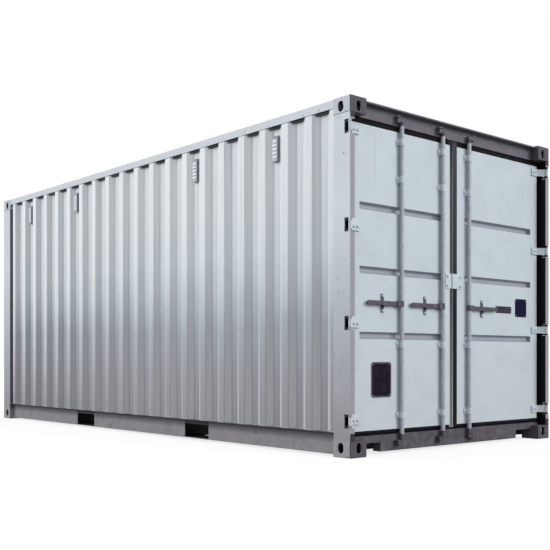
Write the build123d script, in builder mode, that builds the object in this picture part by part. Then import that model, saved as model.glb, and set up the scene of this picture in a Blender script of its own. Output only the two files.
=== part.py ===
from build123d import *
import os

# A twenty-foot dry-cargo container in millimetres, standing on z = 0 with its doors at the +X end
LENGTH = 6058
WIDTH = 2438
HEIGHT = 2591

# Corner castings: hollow blocks with a slot in the outer plate and a hole in each outer wall
CASTING_LENGTH = 178
CASTING_WIDTH = 162
CASTING_HEIGHT = 118
CASTING_WALL = 12
CASTING_THICKNESS = 28.5
SLOT_LENGTH = 124.5
SLOT_WIDTH = 63.5
SLOT_FROM_END = 101.5
SLOT_FROM_SIDE = 89
HOLE_HEIGHT = 79.5
SIDE_HOLE_WIDTH = 63.5
END_HOLE_WIDTH = 51
CASTING_CHAMFER = 5
HOLE_END_SIDES = 16

# Rails and walls lie a little behind the faces of the castings
POST_SETBACK = 2
WALL_SETBACK = 4
ROOF_DROP = 8
RAIL_LIFT = 18
TOP_RAIL = 60
TOP_RAIL_WALL = 3
BOTTOM_RAIL_HEIGHT = 161
BOTTOM_RAIL_THICKNESS = 4.5
BOTTOM_FLANGE = 30
FRONT_RAIL_DEPTH = 80
FRONT_RAIL_THICKNESS = 6

# Pressed sheets
SHEET = 2
SIDE_CREST = 72
SIDE_SLOPE = 69
SIDE_TROUGH = 70
SIDE_DEPTH = 36
END_RECESS_SLOPE = 22
END_RECESS_FLAT = 60
FRONT_CREST = 110
FRONT_SLOPE = 18
FRONT_TROUGH = 104
FRONT_DEPTH = 45.6
FRONT_EDGE_FLAT = 50
ROOF_CREST = 91
ROOF_SLOPE = 13.5
ROOF_TROUGH = 91
ROOF_DEPTH = 20
ROOF_EDGE_FLAT = 25

# Vents sit in side troughs, at these shares of the way from the front
VENT_SHARES = (0.075, 0.275, 0.675, 0.875)
VENT_WIDTH = 62
VENT_HEIGHT = 200
VENT_DEPTH = 25
VENT_LIP = 6
VENT_BELOW_RAIL = 70

# Front posts are pressed angles
FRONT_POST_THICKNESS = 6
FRONT_POST_RETURN = 40

# Floor and what carries it
FLOOR_THICKNESS = 28
FLOOR_UNDERSIDE = 142
FLOOR_END_GAP = 2
CROSS_LIFT = 20
CROSS_FLANGE = 45
CROSS_THICKNESS = 4
CROSS_SPACING = 280
CROSS_TO_POCKET = 140

# Fork pockets run right across under the floor
POCKET_FROM_CENTRE = 1025
POCKET_WIDTH = 360
POCKET_THICKNESS = 4
STRAP_THICKNESS = 6
STRAP_REACH = 200

# Rear frame: posts with a deep flanged lip, header and sill set back behind it
DOOR_SETBACK = 80
REAR_BEAM_DEPTH = 80
REAR_BEAM_THICKNESS = 6
LIP_THICKNESS = 8
LIP_FLANGE = 45
POST_BOX_LENGTH = 70
POST_BOX_WIDTH = 48
POST_BOX_THICKNESS = 6
SILL_TOP = 150
SILL_FALL = 8
CUTOUT_WIDTH = 228
CUTOUT_HEIGHT = 75
LINER_THICKNESS = 5

# Door leaves
DOOR_THICKNESS = 50
DOOR_SILL_GAP = 30
DOOR_HEADER_GAP = 45
DOOR_POST_GAP = 16
DOOR_INNER_EDGE = 45
STILE_WIDTH = 95
DOOR_RAIL_WIDTH = 110
GROOVE_SHARES = (0.312, 0.526, 0.735)
GROOVE_OPENING = 54
GROOVE_FLOOR = 24
GROOVE_DEPTH = 34
GASKET_INSET = 6
GASKET_TOP = 40
GASKET_BOTTOM = 22
GASKET_HINGE_SIDE = 8
LEFT_GASKET_EDGE = -30
RIGHT_GASKET_EDGE = -18
CENTRE_PLATE_EDGE = 100
CENTRE_PLATE_HEIGHT = 120
CENTRE_PLATE_SHARE = 0.514
CENTRE_PLATE_THICKNESS = 6

# Hinges: the pin stands clear of the leaf so that it swings right round to the long side
HINGE_FROM_BOTTOM = 83
HINGE_FROM_TOP = 57
HINGE_COUNT = 4
PIN_RADIUS = 8
PIN_FROM_END = 14
PIN_FROM_SIDE = 14
PIN_HEAD_RADIUS = 11
PIN_HEAD_HEIGHT = 4
PIN_CLEARANCE = 0.3
HINGE_SIDES = 12
KNUCKLE_RADIUS = 13
BLADE_HEIGHT = 60
BLADE_THICKNESS = 12
BLADE_STRAP = 85
BLADE_BEND = 9
BLADE_GAP = 2
LUG_HEIGHT = 16
LUG_LENGTH = 80
NOTCH_LENGTH = 50
NOTCH_MARGIN = 2

# Lock bars, named by where they stand, at these shares of a leaf's width from its inner edge
LOCK_BAR_SHARES = {"left_outer": -0.53, "left_inner": -0.1, "right": 0.115}
BAR_RADIUS = 17
BAR_STANDOFF = 24
BAR_OVER_SILL_FOOT = 44
BAR_UNDER_HEADER_TOP = 53
BAR_CLEARANCE = 0.3
BAR_SIDES = 16
BRACKET_SHARES = (0.047, 0.285, 0.84, 0.967)
BRACKET_HEIGHT = 50
BRACKET_WALL = 3.7
BRACKET_FOOT = 6
BRACKET_FOOT_REACH = 42
CAM_RADIUS = 18
CAM_HEIGHT = 24
HORN_LENGTH = 50
HORN_WIDTH = 20
HORN_HEIGHT = 20
KEEPER_THICKNESS = 8
KEEPER_FOOT = 5
KEEPER_START = 24
KEEPER_END = 60
KEEPER_REACH = 41
MOVING_GAP = 5

# Bar handles
HANDLE_LEVEL = 1125
HANDLE_LENGTH = 366
HANDLE_RADIUS = 16
HANDLE_THICKNESS = 10
HANDLE_PIVOT = 38
HUB_THICKNESS = 6
HUB_GAP = 0.5
HUB_HALF_HEIGHT = 22
RIVET_RADIUS = 6
REST_FROM_BAR = 190
REST_WIDTH = 30
REST_HEIGHT = 140
REST_FOOT = 5
REST_SHELF = 8
REST_REACH = 35

# Places worked out from the sizes above
END_X = LENGTH / 2
SIDE_Y = WIDTH / 2
CORNER_X = END_X - CASTING_LENGTH
CORNER_Y = SIDE_Y - CASTING_WIDTH
POST_Y = SIDE_Y - POST_SETBACK
WALL_Y = SIDE_Y - WALL_SETBACK
POST_BOTTOM = CASTING_HEIGHT
POST_TOP = HEIGHT - CASTING_HEIGHT
FRONT_X = POST_SETBACK - END_X
REAR_X = END_X - POST_SETBACK
ROOF_Z = HEIGHT - ROOF_DROP
WALL_TOP = ROOF_Z - TOP_RAIL
WALL_BOTTOM = RAIL_LIFT + BOTTOM_RAIL_HEIGHT
TROUGH_Y = WALL_Y - SIDE_DEPTH
RAIL_INNER_Y = TROUGH_Y - BOTTOM_RAIL_THICKNESS
SIDE_PITCH = SIDE_CREST + SIDE_TROUGH + 2 * SIDE_SLOPE
SIDE_COUNT = int((2 * CORNER_X - END_RECESS_FLAT - END_RECESS_SLOPE) // SIDE_PITCH)
FRONT_PITCH = FRONT_CREST + FRONT_TROUGH + 2 * FRONT_SLOPE
FRONT_COUNT = int(2 * (CORNER_Y - FRONT_EDGE_FLAT) // FRONT_PITCH)
ROOF_PITCH = ROOF_CREST + ROOF_TROUGH + 2 * ROOF_SLOPE
FACE_X = END_X - DOOR_SETBACK
BEAM_X = FACE_X - REAR_BEAM_DEPTH
ROOF_COUNT = int(2 * (BEAM_X - ROOF_EDGE_FLAT) // ROOF_PITCH)
LEAF_X = FACE_X - DOOR_THICKNESS
LIP_Y = POST_Y - LIP_THICKNESS
FLANGE_Y = POST_Y - LIP_FLANGE
POST_BOX_X = CORNER_X + POST_BOX_LENGTH
POST_BOX_Y = LIP_Y - POST_BOX_WIDTH
PIN_X = END_X - PIN_FROM_END
PIN_Y = SIDE_Y - PIN_FROM_SIDE
BORE_RADIUS = PIN_RADIUS + PIN_CLEARANCE
DOOR_BOTTOM = SILL_TOP + DOOR_SILL_GAP
DOOR_TOP = POST_TOP - DOOR_HEADER_GAP
DOOR_HEIGHT = DOOR_TOP - DOOR_BOTTOM
DOOR_OUTER_EDGE = POST_BOX_Y - DOOR_POST_GAP
DOOR_WIDTH = DOOR_OUTER_EDGE - DOOR_INNER_EDGE
BLADE_INNER_EDGE = DOOR_OUTER_EDGE - BLADE_STRAP
BLADE_CORNER = DOOR_OUTER_EDGE - BLADE_BEND
HINGE_FIRST = DOOR_BOTTOM + HINGE_FROM_BOTTOM
HINGE_SPACING = (DOOR_TOP - HINGE_FROM_TOP - HINGE_FIRST) / (HINGE_COUNT - 1)
HINGE_HEIGHTS = [HINGE_FIRST + step * HINGE_SPACING for step in range(HINGE_COUNT)]
FRONT_RAIL_X = FRONT_X + FRONT_RAIL_DEPTH
FRONT_WALL_X = FRONT_X + POST_SETBACK
POCKET_CENTRES = (-POCKET_FROM_CENTRE, POCKET_FROM_CENTRE)
POCKET_REACH = POCKET_FROM_CENTRE + POCKET_WIDTH / 2
POCKET_START = POCKET_FROM_CENTRE - POCKET_WIDTH / 2
POCKET_TOP = FLOOR_UNDERSIDE - POCKET_THICKNESS
BAR_X = FACE_X + BAR_STANDOFF
BAR_BOTTOM = RAIL_LIFT + BAR_OVER_SILL_FOOT
BAR_TOP = ROOF_Z - BAR_UNDER_HEADER_TOP
CAM_HEIGHTS = (BAR_BOTTOM + CAM_HEIGHT / 2, BAR_TOP - CAM_HEIGHT / 2)
LOCK_BARS = {}
for name, share in LOCK_BAR_SHARES.items():
    edge = DOOR_INNER_EDGE if share > 0 else -DOOR_INNER_EDGE
    LOCK_BARS[name] = edge + share * DOOR_WIDTH
SIDES = {"left": -1, "right": 1}


def block(x_span, y_span, z_span, mode=Mode.ADD):
    """A rectangular block between two values on each axis."""
    spans = [sorted(span) for span in (x_span, y_span, z_span)]
    with Locations(tuple(low for low, high in spans)):
        Box(*(high - low for low, high in spans), align=(Align.MIN, Align.MIN, Align.MIN), mode=mode)


def outline(plane, points):
    """A face with straight edges through the points."""
    with BuildSketch(plane) as face:
        with BuildLine():
            Polyline(*points, close=True)
        make_face()
    return face.sketch


def bent_sheet(plane, path, thickness=SHEET, side=Side.RIGHT):
    """The section of a bent sheet whose outer face follows the path."""
    with BuildSketch(plane) as section:
        with BuildLine():
            Polyline(*path)
            offset(amount=thickness, side=side, kind=Kind.INTERSECTION, closed=True)
        make_face()
    return section.sketch


def long_hole(plane, centre, length, width):
    """An upright slot whose round ends are drawn with short straight sides."""
    reach = (length - width) / 2
    with BuildSketch(plane) as hole:
        with Locations(centre):
            Rectangle(width, 2 * reach)
            with Locations((0, reach), (0, -reach)):
                RegularPolygon(width / 2, HOLE_END_SIDES)
    return hole.sketch


def corrugation(start, crest, slope, trough, depth, count):
    """Corners of a row of corrugations, as (distance along, depth), from the middle of a crest."""
    pitch = crest + trough + 2 * slope
    corners = []
    for number in range(count):
        fall = start + number * pitch + crest / 2
        floor_end = fall + slope + trough
        corners += [(fall, 0), (fall + slope, depth), (floor_end, depth), (floor_end + slope, 0)]
    return corners


def save(builder, label):
    """Name a finished piece and write it."""
    builder.part.label = label
    export_step(builder.part, f"parts/{label}.step")


os.makedirs("parts", exist_ok=True)

# Corner castings: one at the +X +Y corner, mirrored to the others
with BuildPart() as bottom_corner_castings:
    hole_z = CASTING_THICKNESS + HOLE_HEIGHT / 2
    block((CORNER_X, END_X), (CORNER_Y, SIDE_Y), (0, CASTING_HEIGHT))
    outer_edges = bottom_corner_castings.edges().sort_by_distance((END_X, SIDE_Y, 0))[:3]
    chamfer(outer_edges, length=CASTING_CHAMFER)
    block(
        (CORNER_X + CASTING_WALL, END_X - CASTING_WALL),
        (CORNER_Y + CASTING_WALL, SIDE_Y - CASTING_WALL),
        (CASTING_THICKNESS, CASTING_THICKNESS + HOLE_HEIGHT),
        mode=Mode.SUBTRACT,
    )
    with BuildSketch():
        with Locations((END_X - SLOT_FROM_END, SIDE_Y - SLOT_FROM_SIDE)):
            SlotOverall(SLOT_LENGTH, SLOT_WIDTH)
    extrude(amount=CASTING_THICKNESS, mode=Mode.SUBTRACT)
    side_hole = long_hole(
        Plane.XZ.offset(-SIDE_Y), (END_X - SLOT_FROM_END, hole_z), HOLE_HEIGHT, SIDE_HOLE_WIDTH
    )
    extrude(side_hole, amount=CASTING_WALL, mode=Mode.SUBTRACT)
    end_hole = long_hole(
        Plane.YZ.offset(END_X), (SIDE_Y - SLOT_FROM_SIDE, hole_z), HOLE_HEIGHT, END_HOLE_WIDTH
    )
    extrude(end_hole, amount=-CASTING_WALL, mode=Mode.SUBTRACT)
    mirror(about=Plane.YZ)
    mirror(about=Plane.XZ)
save(bottom_corner_castings, "bottom_corner_castings")

with BuildPart() as top_corner_castings:
    mirror(bottom_corner_castings.part, about=Plane.XY.offset(HEIGHT / 2))
save(top_corner_castings, "top_corner_castings")

# Front posts: a pressed angle with both edges turned in
with BuildPart() as front_posts:
    path = [
        (-CORNER_X, POST_Y - FRONT_POST_RETURN),
        (-CORNER_X, POST_Y),
        (FRONT_X, POST_Y),
        (FRONT_X, CORNER_Y),
        (FRONT_X + FRONT_DEPTH, CORNER_Y),
    ]
    section = bent_sheet(Plane.XY.offset(POST_BOTTOM), path, FRONT_POST_THICKNESS, Side.LEFT)
    extrude(section, amount=POST_TOP - POST_BOTTOM)
    mirror(about=Plane.XZ)
save(front_posts, "front_posts")

# Rear posts: a box behind a flanged lip, notched for the hinges, with two lugs and a pin at each hinge
with BuildPart() as rear_right_post:
    with BuildSketch(Plane.XY.offset(POST_BOTTOM)):
        with BuildLine():
            Polyline(
                (CORNER_X, POST_Y),
                (REAR_X, POST_Y),
                (REAR_X, FLANGE_Y),
                (REAR_X - LIP_THICKNESS, FLANGE_Y),
                (REAR_X - LIP_THICKNESS, LIP_Y),
                (POST_BOX_X, LIP_Y),
                (POST_BOX_X, POST_BOX_Y),
                (CORNER_X, POST_BOX_Y),
                close=True,
            )
        make_face()
        with Locations(((CORNER_X + POST_BOX_X) / 2, (LIP_Y + POST_BOX_Y + POST_BOX_THICKNESS) / 2)):
            Rectangle(
                POST_BOX_LENGTH - 2 * POST_BOX_THICKNESS,
                POST_BOX_WIDTH - POST_BOX_THICKNESS,
                mode=Mode.SUBTRACT,
            )
    extrude(amount=POST_TOP - POST_BOTTOM)
    lug_offset = BLADE_HEIGHT / 2 + BLADE_GAP
    notch_half = lug_offset + LUG_HEIGHT + NOTCH_MARGIN
    for hinge_z in HINGE_HEIGHTS:
        block(
            (PIN_X - NOTCH_LENGTH, REAR_X),
            (FLANGE_Y, POST_Y),
            (hinge_z - notch_half, hinge_z + notch_half),
            mode=Mode.SUBTRACT,
        )
    for lug_z in [z + step for z in HINGE_HEIGHTS for step in (lug_offset, -lug_offset - LUG_HEIGHT)]:
        with BuildSketch(Plane.XY.offset(lug_z)):
            with BuildLine():
                Polyline(
                    (PIN_X - LUG_LENGTH, LIP_Y),
                    (PIN_X - LUG_LENGTH, PIN_Y - KNUCKLE_RADIUS),
                    (PIN_X, PIN_Y - KNUCKLE_RADIUS),
                    (PIN_X, LIP_Y),
                    close=True,
                )
            make_face()
            with Locations((PIN_X, PIN_Y)):
                RegularPolygon(KNUCKLE_RADIUS, HINGE_SIDES)
        extrude(amount=LUG_HEIGHT)
    for hinge_z in HINGE_HEIGHTS:
        with BuildSketch(Plane.XY.offset(hinge_z)):
            with Locations((PIN_X, PIN_Y)):
                Circle(PIN_RADIUS)
        extrude(amount=lug_offset, both=True)
        with BuildSketch(Plane.XY.offset(hinge_z + lug_offset + LUG_HEIGHT)):
            with Locations((PIN_X, PIN_Y)):
                RegularPolygon(PIN_HEAD_RADIUS, HINGE_SIDES)
        extrude(amount=PIN_HEAD_HEIGHT)
save(rear_right_post, "rear_right_post")

with BuildPart() as rear_left_post:
    mirror(rear_right_post.part, about=Plane.XZ)
save(rear_left_post, "rear_left_post")

# Top side rails: square tubes between the castings
with BuildPart() as top_side_rails:
    with BuildSketch(Plane.YZ):
        with Locations((WALL_Y - TOP_RAIL / 2, ROOF_Z - TOP_RAIL / 2)):
            Rectangle(TOP_RAIL, TOP_RAIL)
            Rectangle(TOP_RAIL - 2 * TOP_RAIL_WALL, TOP_RAIL - 2 * TOP_RAIL_WALL, mode=Mode.SUBTRACT)
    extrude(amount=CORNER_X, both=True)
    mirror(about=Plane.XZ)
save(top_side_rails, "top_side_rails")

# Bottom side rails: channels open to the outside, whole above the fork pockets and parted by them below
with BuildPart() as bottom_side_rails:
    angle = [(RAIL_INNER_Y, POCKET_TOP), (RAIL_INNER_Y, WALL_BOTTOM), (WALL_Y, WALL_BOTTOM)]
    extrude(bent_sheet(Plane.YZ, angle, BOTTOM_RAIL_THICKNESS), amount=CORNER_X, both=True)
    mirror(about=Plane.XZ)
save(bottom_side_rails, "bottom_side_rails")

with BuildPart() as bottom_rail_skirts:
    angle = [(TROUGH_Y + BOTTOM_FLANGE, RAIL_LIFT), (RAIL_INNER_Y, RAIL_LIFT), (RAIL_INNER_Y, POCKET_TOP)]
    for start, end in ((-CORNER_X, -POCKET_REACH), (-POCKET_START, POCKET_START), (POCKET_REACH, CORNER_X)):
        extrude(bent_sheet(Plane.YZ.offset(start), angle, BOTTOM_RAIL_THICKNESS), amount=end - start)
    mirror(about=Plane.XZ)
save(bottom_rail_skirts, "bottom_rail_skirts")

# Front rails: a square tube above the wall and a channel open to the inside below it
with BuildPart() as front_top_rail:
    with BuildSketch(Plane.XZ):
        with Locations((FRONT_X + TOP_RAIL / 2, ROOF_Z - TOP_RAIL / 2)):
            Rectangle(TOP_RAIL, TOP_RAIL)
            Rectangle(TOP_RAIL - 2 * TOP_RAIL_WALL, TOP_RAIL - 2 * TOP_RAIL_WALL, mode=Mode.SUBTRACT)
    extrude(amount=CORNER_Y, both=True)
save(front_top_rail, "front_top_rail")

with BuildPart() as front_bottom_rail:
    channel = [
        (FRONT_RAIL_X, RAIL_LIFT),
        (FRONT_X, RAIL_LIFT),
        (FRONT_X, WALL_BOTTOM),
        (FRONT_RAIL_X, WALL_BOTTOM),
    ]
    extrude(bent_sheet(Plane.XZ, channel, FRONT_RAIL_THICKNESS), amount=CORNER_Y, both=True)
save(front_bottom_rail, "front_bottom_rail")

# Long sides: corrugations counted from the door end, then a narrow recess beside the front post
side_corners = corrugation(-CORNER_X, SIDE_CREST, SIDE_SLOPE, SIDE_TROUGH, SIDE_DEPTH, SIDE_COUNT)
side_path = [
    (-CORNER_X, 0),
    *side_corners,
    (CORNER_X - END_RECESS_FLAT - END_RECESS_SLOPE, 0),
    (CORNER_X - END_RECESS_FLAT, SIDE_DEPTH),
    (CORNER_X, SIDE_DEPTH),
]
for name, sign in SIDES.items():
    with BuildPart() as side_wall:
        path = [(-along, sign * (WALL_Y - depth)) for along, depth in side_path]
        inner_side = Side.LEFT if sign > 0 else Side.RIGHT
        extrude(
            bent_sheet(Plane.XY.offset(WALL_BOTTOM), path, side=inner_side),
            amount=WALL_TOP - WALL_BOTTOM,
        )
    save(side_wall, f"{name}_side_wall")

# Vents: small hoods, open below, in the upper ends of some troughs
with BuildPart() as vents:
    vent_top = WALL_TOP - VENT_BELOW_RAIL
    vent_section = [
        (TROUGH_Y, vent_top),
        (TROUGH_Y, vent_top - VENT_HEIGHT),
        (TROUGH_Y + VENT_DEPTH, vent_top - VENT_HEIGHT),
        (TROUGH_Y + VENT_DEPTH, vent_top - VENT_DEPTH),
        (TROUGH_Y + VENT_LIP, vent_top),
    ]
    for share in VENT_SHARES:
        troughs_behind = SIDE_COUNT - int(share * SIDE_COUNT) - 1
        trough_x = CORNER_X - troughs_behind * SIDE_PITCH - SIDE_PITCH / 2
        extrude(outline(Plane.YZ.offset(trough_x), vent_section), amount=VENT_WIDTH / 2, both=True)
    mirror(about=Plane.XZ)
save(vents, "vents")

# Front wall
with BuildPart() as front_wall:
    first_crest = -FRONT_COUNT * FRONT_PITCH / 2
    corners = corrugation(first_crest, FRONT_CREST, FRONT_SLOPE, FRONT_TROUGH, FRONT_DEPTH, FRONT_COUNT)
    across = [(-CORNER_Y, 0), *corners, (CORNER_Y, 0)]
    path = [(FRONT_WALL_X + depth, along) for along, depth in across]
    extrude(bent_sheet(Plane.XY.offset(WALL_BOTTOM), path), amount=WALL_TOP - WALL_BOTTOM)
save(front_wall, "front_wall")

# Roof: cross-wise corrugations between the top rails, trimmed round the castings
with BuildPart() as roof_panel:
    first_crest = -ROOF_COUNT * ROOF_PITCH / 2
    corners = corrugation(first_crest, ROOF_CREST, ROOF_SLOPE, ROOF_TROUGH, ROOF_DEPTH, ROOF_COUNT)
    path = [(FRONT_X + TOP_RAIL, ROOF_Z)]
    path += [(along, ROOF_Z - depth) for along, depth in corners]
    path += [(BEAM_X, ROOF_Z)]
    extrude(bent_sheet(Plane.XZ, path), amount=WALL_Y - TOP_RAIL, both=True)
    for x_sign in SIDES.values():
        for y_sign in SIDES.values():
            block(
                (x_sign * CORNER_X, x_sign * END_X),
                (y_sign * CORNER_Y, y_sign * SIDE_Y),
                (POST_TOP, HEIGHT),
                mode=Mode.SUBTRACT,
            )
save(roof_panel, "roof_panel")

# Floor boards, notched round the rear posts
with BuildPart() as floor:
    floor_end = BEAM_X - FLOOR_END_GAP
    floor_outline = [
        (FRONT_RAIL_X, -RAIL_INNER_Y),
        (CORNER_X, -RAIL_INNER_Y),
        (CORNER_X, -POST_BOX_Y),
        (floor_end, -POST_BOX_Y),
        (floor_end, POST_BOX_Y),
        (CORNER_X, POST_BOX_Y),
        (CORNER_X, RAIL_INNER_Y),
        (FRONT_RAIL_X, RAIL_INNER_Y),
    ]
    extrude(outline(Plane.XY.offset(FLOOR_UNDERSIDE), floor_outline), amount=FLOOR_THICKNESS)
save(floor, "floor")

# Cross members: channels under the floor, clear of the fork pockets
with BuildPart() as cross_members:
    middle_steps = int(2 * (POCKET_START - CROSS_TO_POCKET) // CROSS_SPACING)
    middle = [(step - middle_steps / 2) * CROSS_SPACING for step in range(middle_steps + 1)]
    rear_first = POCKET_REACH + CROSS_TO_POCKET
    rear_steps = int((BEAM_X - CROSS_FLANGE - rear_first) // CROSS_SPACING)
    rear = [rear_first + step * CROSS_SPACING for step in range(rear_steps + 1)]
    for x in middle + rear + [-x for x in rear]:
        channel = [
            (x + CROSS_FLANGE / 2, CROSS_LIFT),
            (x - CROSS_FLANGE / 2, CROSS_LIFT),
            (x - CROSS_FLANGE / 2, FLOOR_UNDERSIDE),
            (x + CROSS_FLANGE / 2, FLOOR_UNDERSIDE),
        ]
        extrude(bent_sheet(Plane.XZ, channel, CROSS_THICKNESS), amount=RAIL_INNER_Y, both=True)
save(cross_members, "cross_members")

# Fork pockets: a top plate and two side plates between the bottom rails, with a strap under each mouth
with BuildPart() as fork_pocket_tops:
    for centre in POCKET_CENTRES:
        block(
            (centre - POCKET_WIDTH / 2, centre + POCKET_WIDTH / 2),
            (-RAIL_INNER_Y, RAIL_INNER_Y),
            (POCKET_TOP, FLOOR_UNDERSIDE),
        )
save(fork_pocket_tops, "fork_pocket_tops")

with BuildPart() as fork_pocket_sides:
    for side_x in (POCKET_START - POCKET_THICKNESS, POCKET_REACH):
        block(
            (side_x, side_x + POCKET_THICKNESS),
            (-RAIL_INNER_Y, RAIL_INNER_Y),
            (RAIL_LIFT, FLOOR_UNDERSIDE),
        )
    mirror(about=Plane.YZ)
save(fork_pocket_sides, "fork_pocket_sides")

with BuildPart() as fork_pocket_straps:
    strap_edge = TROUGH_Y + BOTTOM_FLANGE
    for centre in POCKET_CENTRES:
        for sign in SIDES.values():
            block(
                (centre - POCKET_WIDTH / 2, centre + POCKET_WIDTH / 2),
                (sign * (strap_edge - STRAP_REACH), sign * strap_edge),
                (RAIL_LIFT, RAIL_LIFT + STRAP_THICKNESS),
            )
save(fork_pocket_straps, "fork_pocket_straps")

# Door header: a box beam between the top castings
with BuildPart() as door_header:
    with BuildSketch(Plane.XZ):
        with Locations(((BEAM_X + FACE_X) / 2, (POST_TOP + ROOF_Z) / 2)):
            Rectangle(REAR_BEAM_DEPTH, ROOF_Z - POST_TOP)
            Rectangle(
                REAR_BEAM_DEPTH - 2 * REAR_BEAM_THICKNESS,
                ROOF_Z - POST_TOP - 2 * REAR_BEAM_THICKNESS,
                mode=Mode.SUBTRACT,
            )
    extrude(amount=CORNER_Y, both=True)
save(door_header, "door_header")

# Door sill: a folded channel that falls outwards, with a handling cut-out beside each casting
with BuildPart() as door_sill:
    channel = [
        (BEAM_X, RAIL_LIFT),
        (FACE_X, RAIL_LIFT),
        (FACE_X, SILL_TOP - SILL_FALL),
        (BEAM_X, SILL_TOP),
    ]
    extrude(bent_sheet(Plane.XZ, channel, REAR_BEAM_THICKNESS, Side.LEFT), amount=POST_BOX_Y, both=True)
    for sign in SIDES.values():
        block((CORNER_X, END_X), (sign * CORNER_Y, sign * SIDE_Y), (0, CASTING_HEIGHT), mode=Mode.SUBTRACT)
        block(
            (CORNER_X, END_X),
            (sign * (CORNER_Y - CUTOUT_WIDTH), sign * CORNER_Y),
            (0, RAIL_LIFT + CUTOUT_HEIGHT),
            mode=Mode.SUBTRACT,
        )
save(door_sill, "door_sill")

with BuildPart() as sill_cutout_liners:
    liner_top = RAIL_LIFT + CUTOUT_HEIGHT
    path = [
        (CORNER_Y - CUTOUT_WIDTH, RAIL_LIFT),
        (CORNER_Y - CUTOUT_WIDTH, liner_top),
        (CORNER_Y, liner_top),
    ]
    extrude(bent_sheet(Plane.YZ.offset(BEAM_X), path, LINER_THICKNESS), amount=REAR_BEAM_DEPTH)
    mirror(about=Plane.XZ)
save(sill_cutout_liners, "sill_cutout_liners")

# Cam keepers: open jaws on the header and the sill beside each lock bar
with BuildPart() as cam_keepers:
    jaw_half = HORN_HEIGHT / 2 + MOVING_GAP + KEEPER_THICKNESS
    for bar_y in LOCK_BARS.values():
        out = 1 if bar_y > 0 else -1
        y_span = (bar_y + out * KEEPER_START, bar_y + out * KEEPER_END)
        for cam_z in CAM_HEIGHTS:
            block((FACE_X, FACE_X + KEEPER_REACH), y_span, (cam_z - jaw_half, cam_z + jaw_half))
            block(
                (FACE_X + KEEPER_FOOT, FACE_X + KEEPER_REACH),
                y_span,
                (cam_z - jaw_half + KEEPER_THICKNESS, cam_z + jaw_half - KEEPER_THICKNESS),
                mode=Mode.SUBTRACT,
            )
save(cam_keepers, "cam_keepers")

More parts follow.
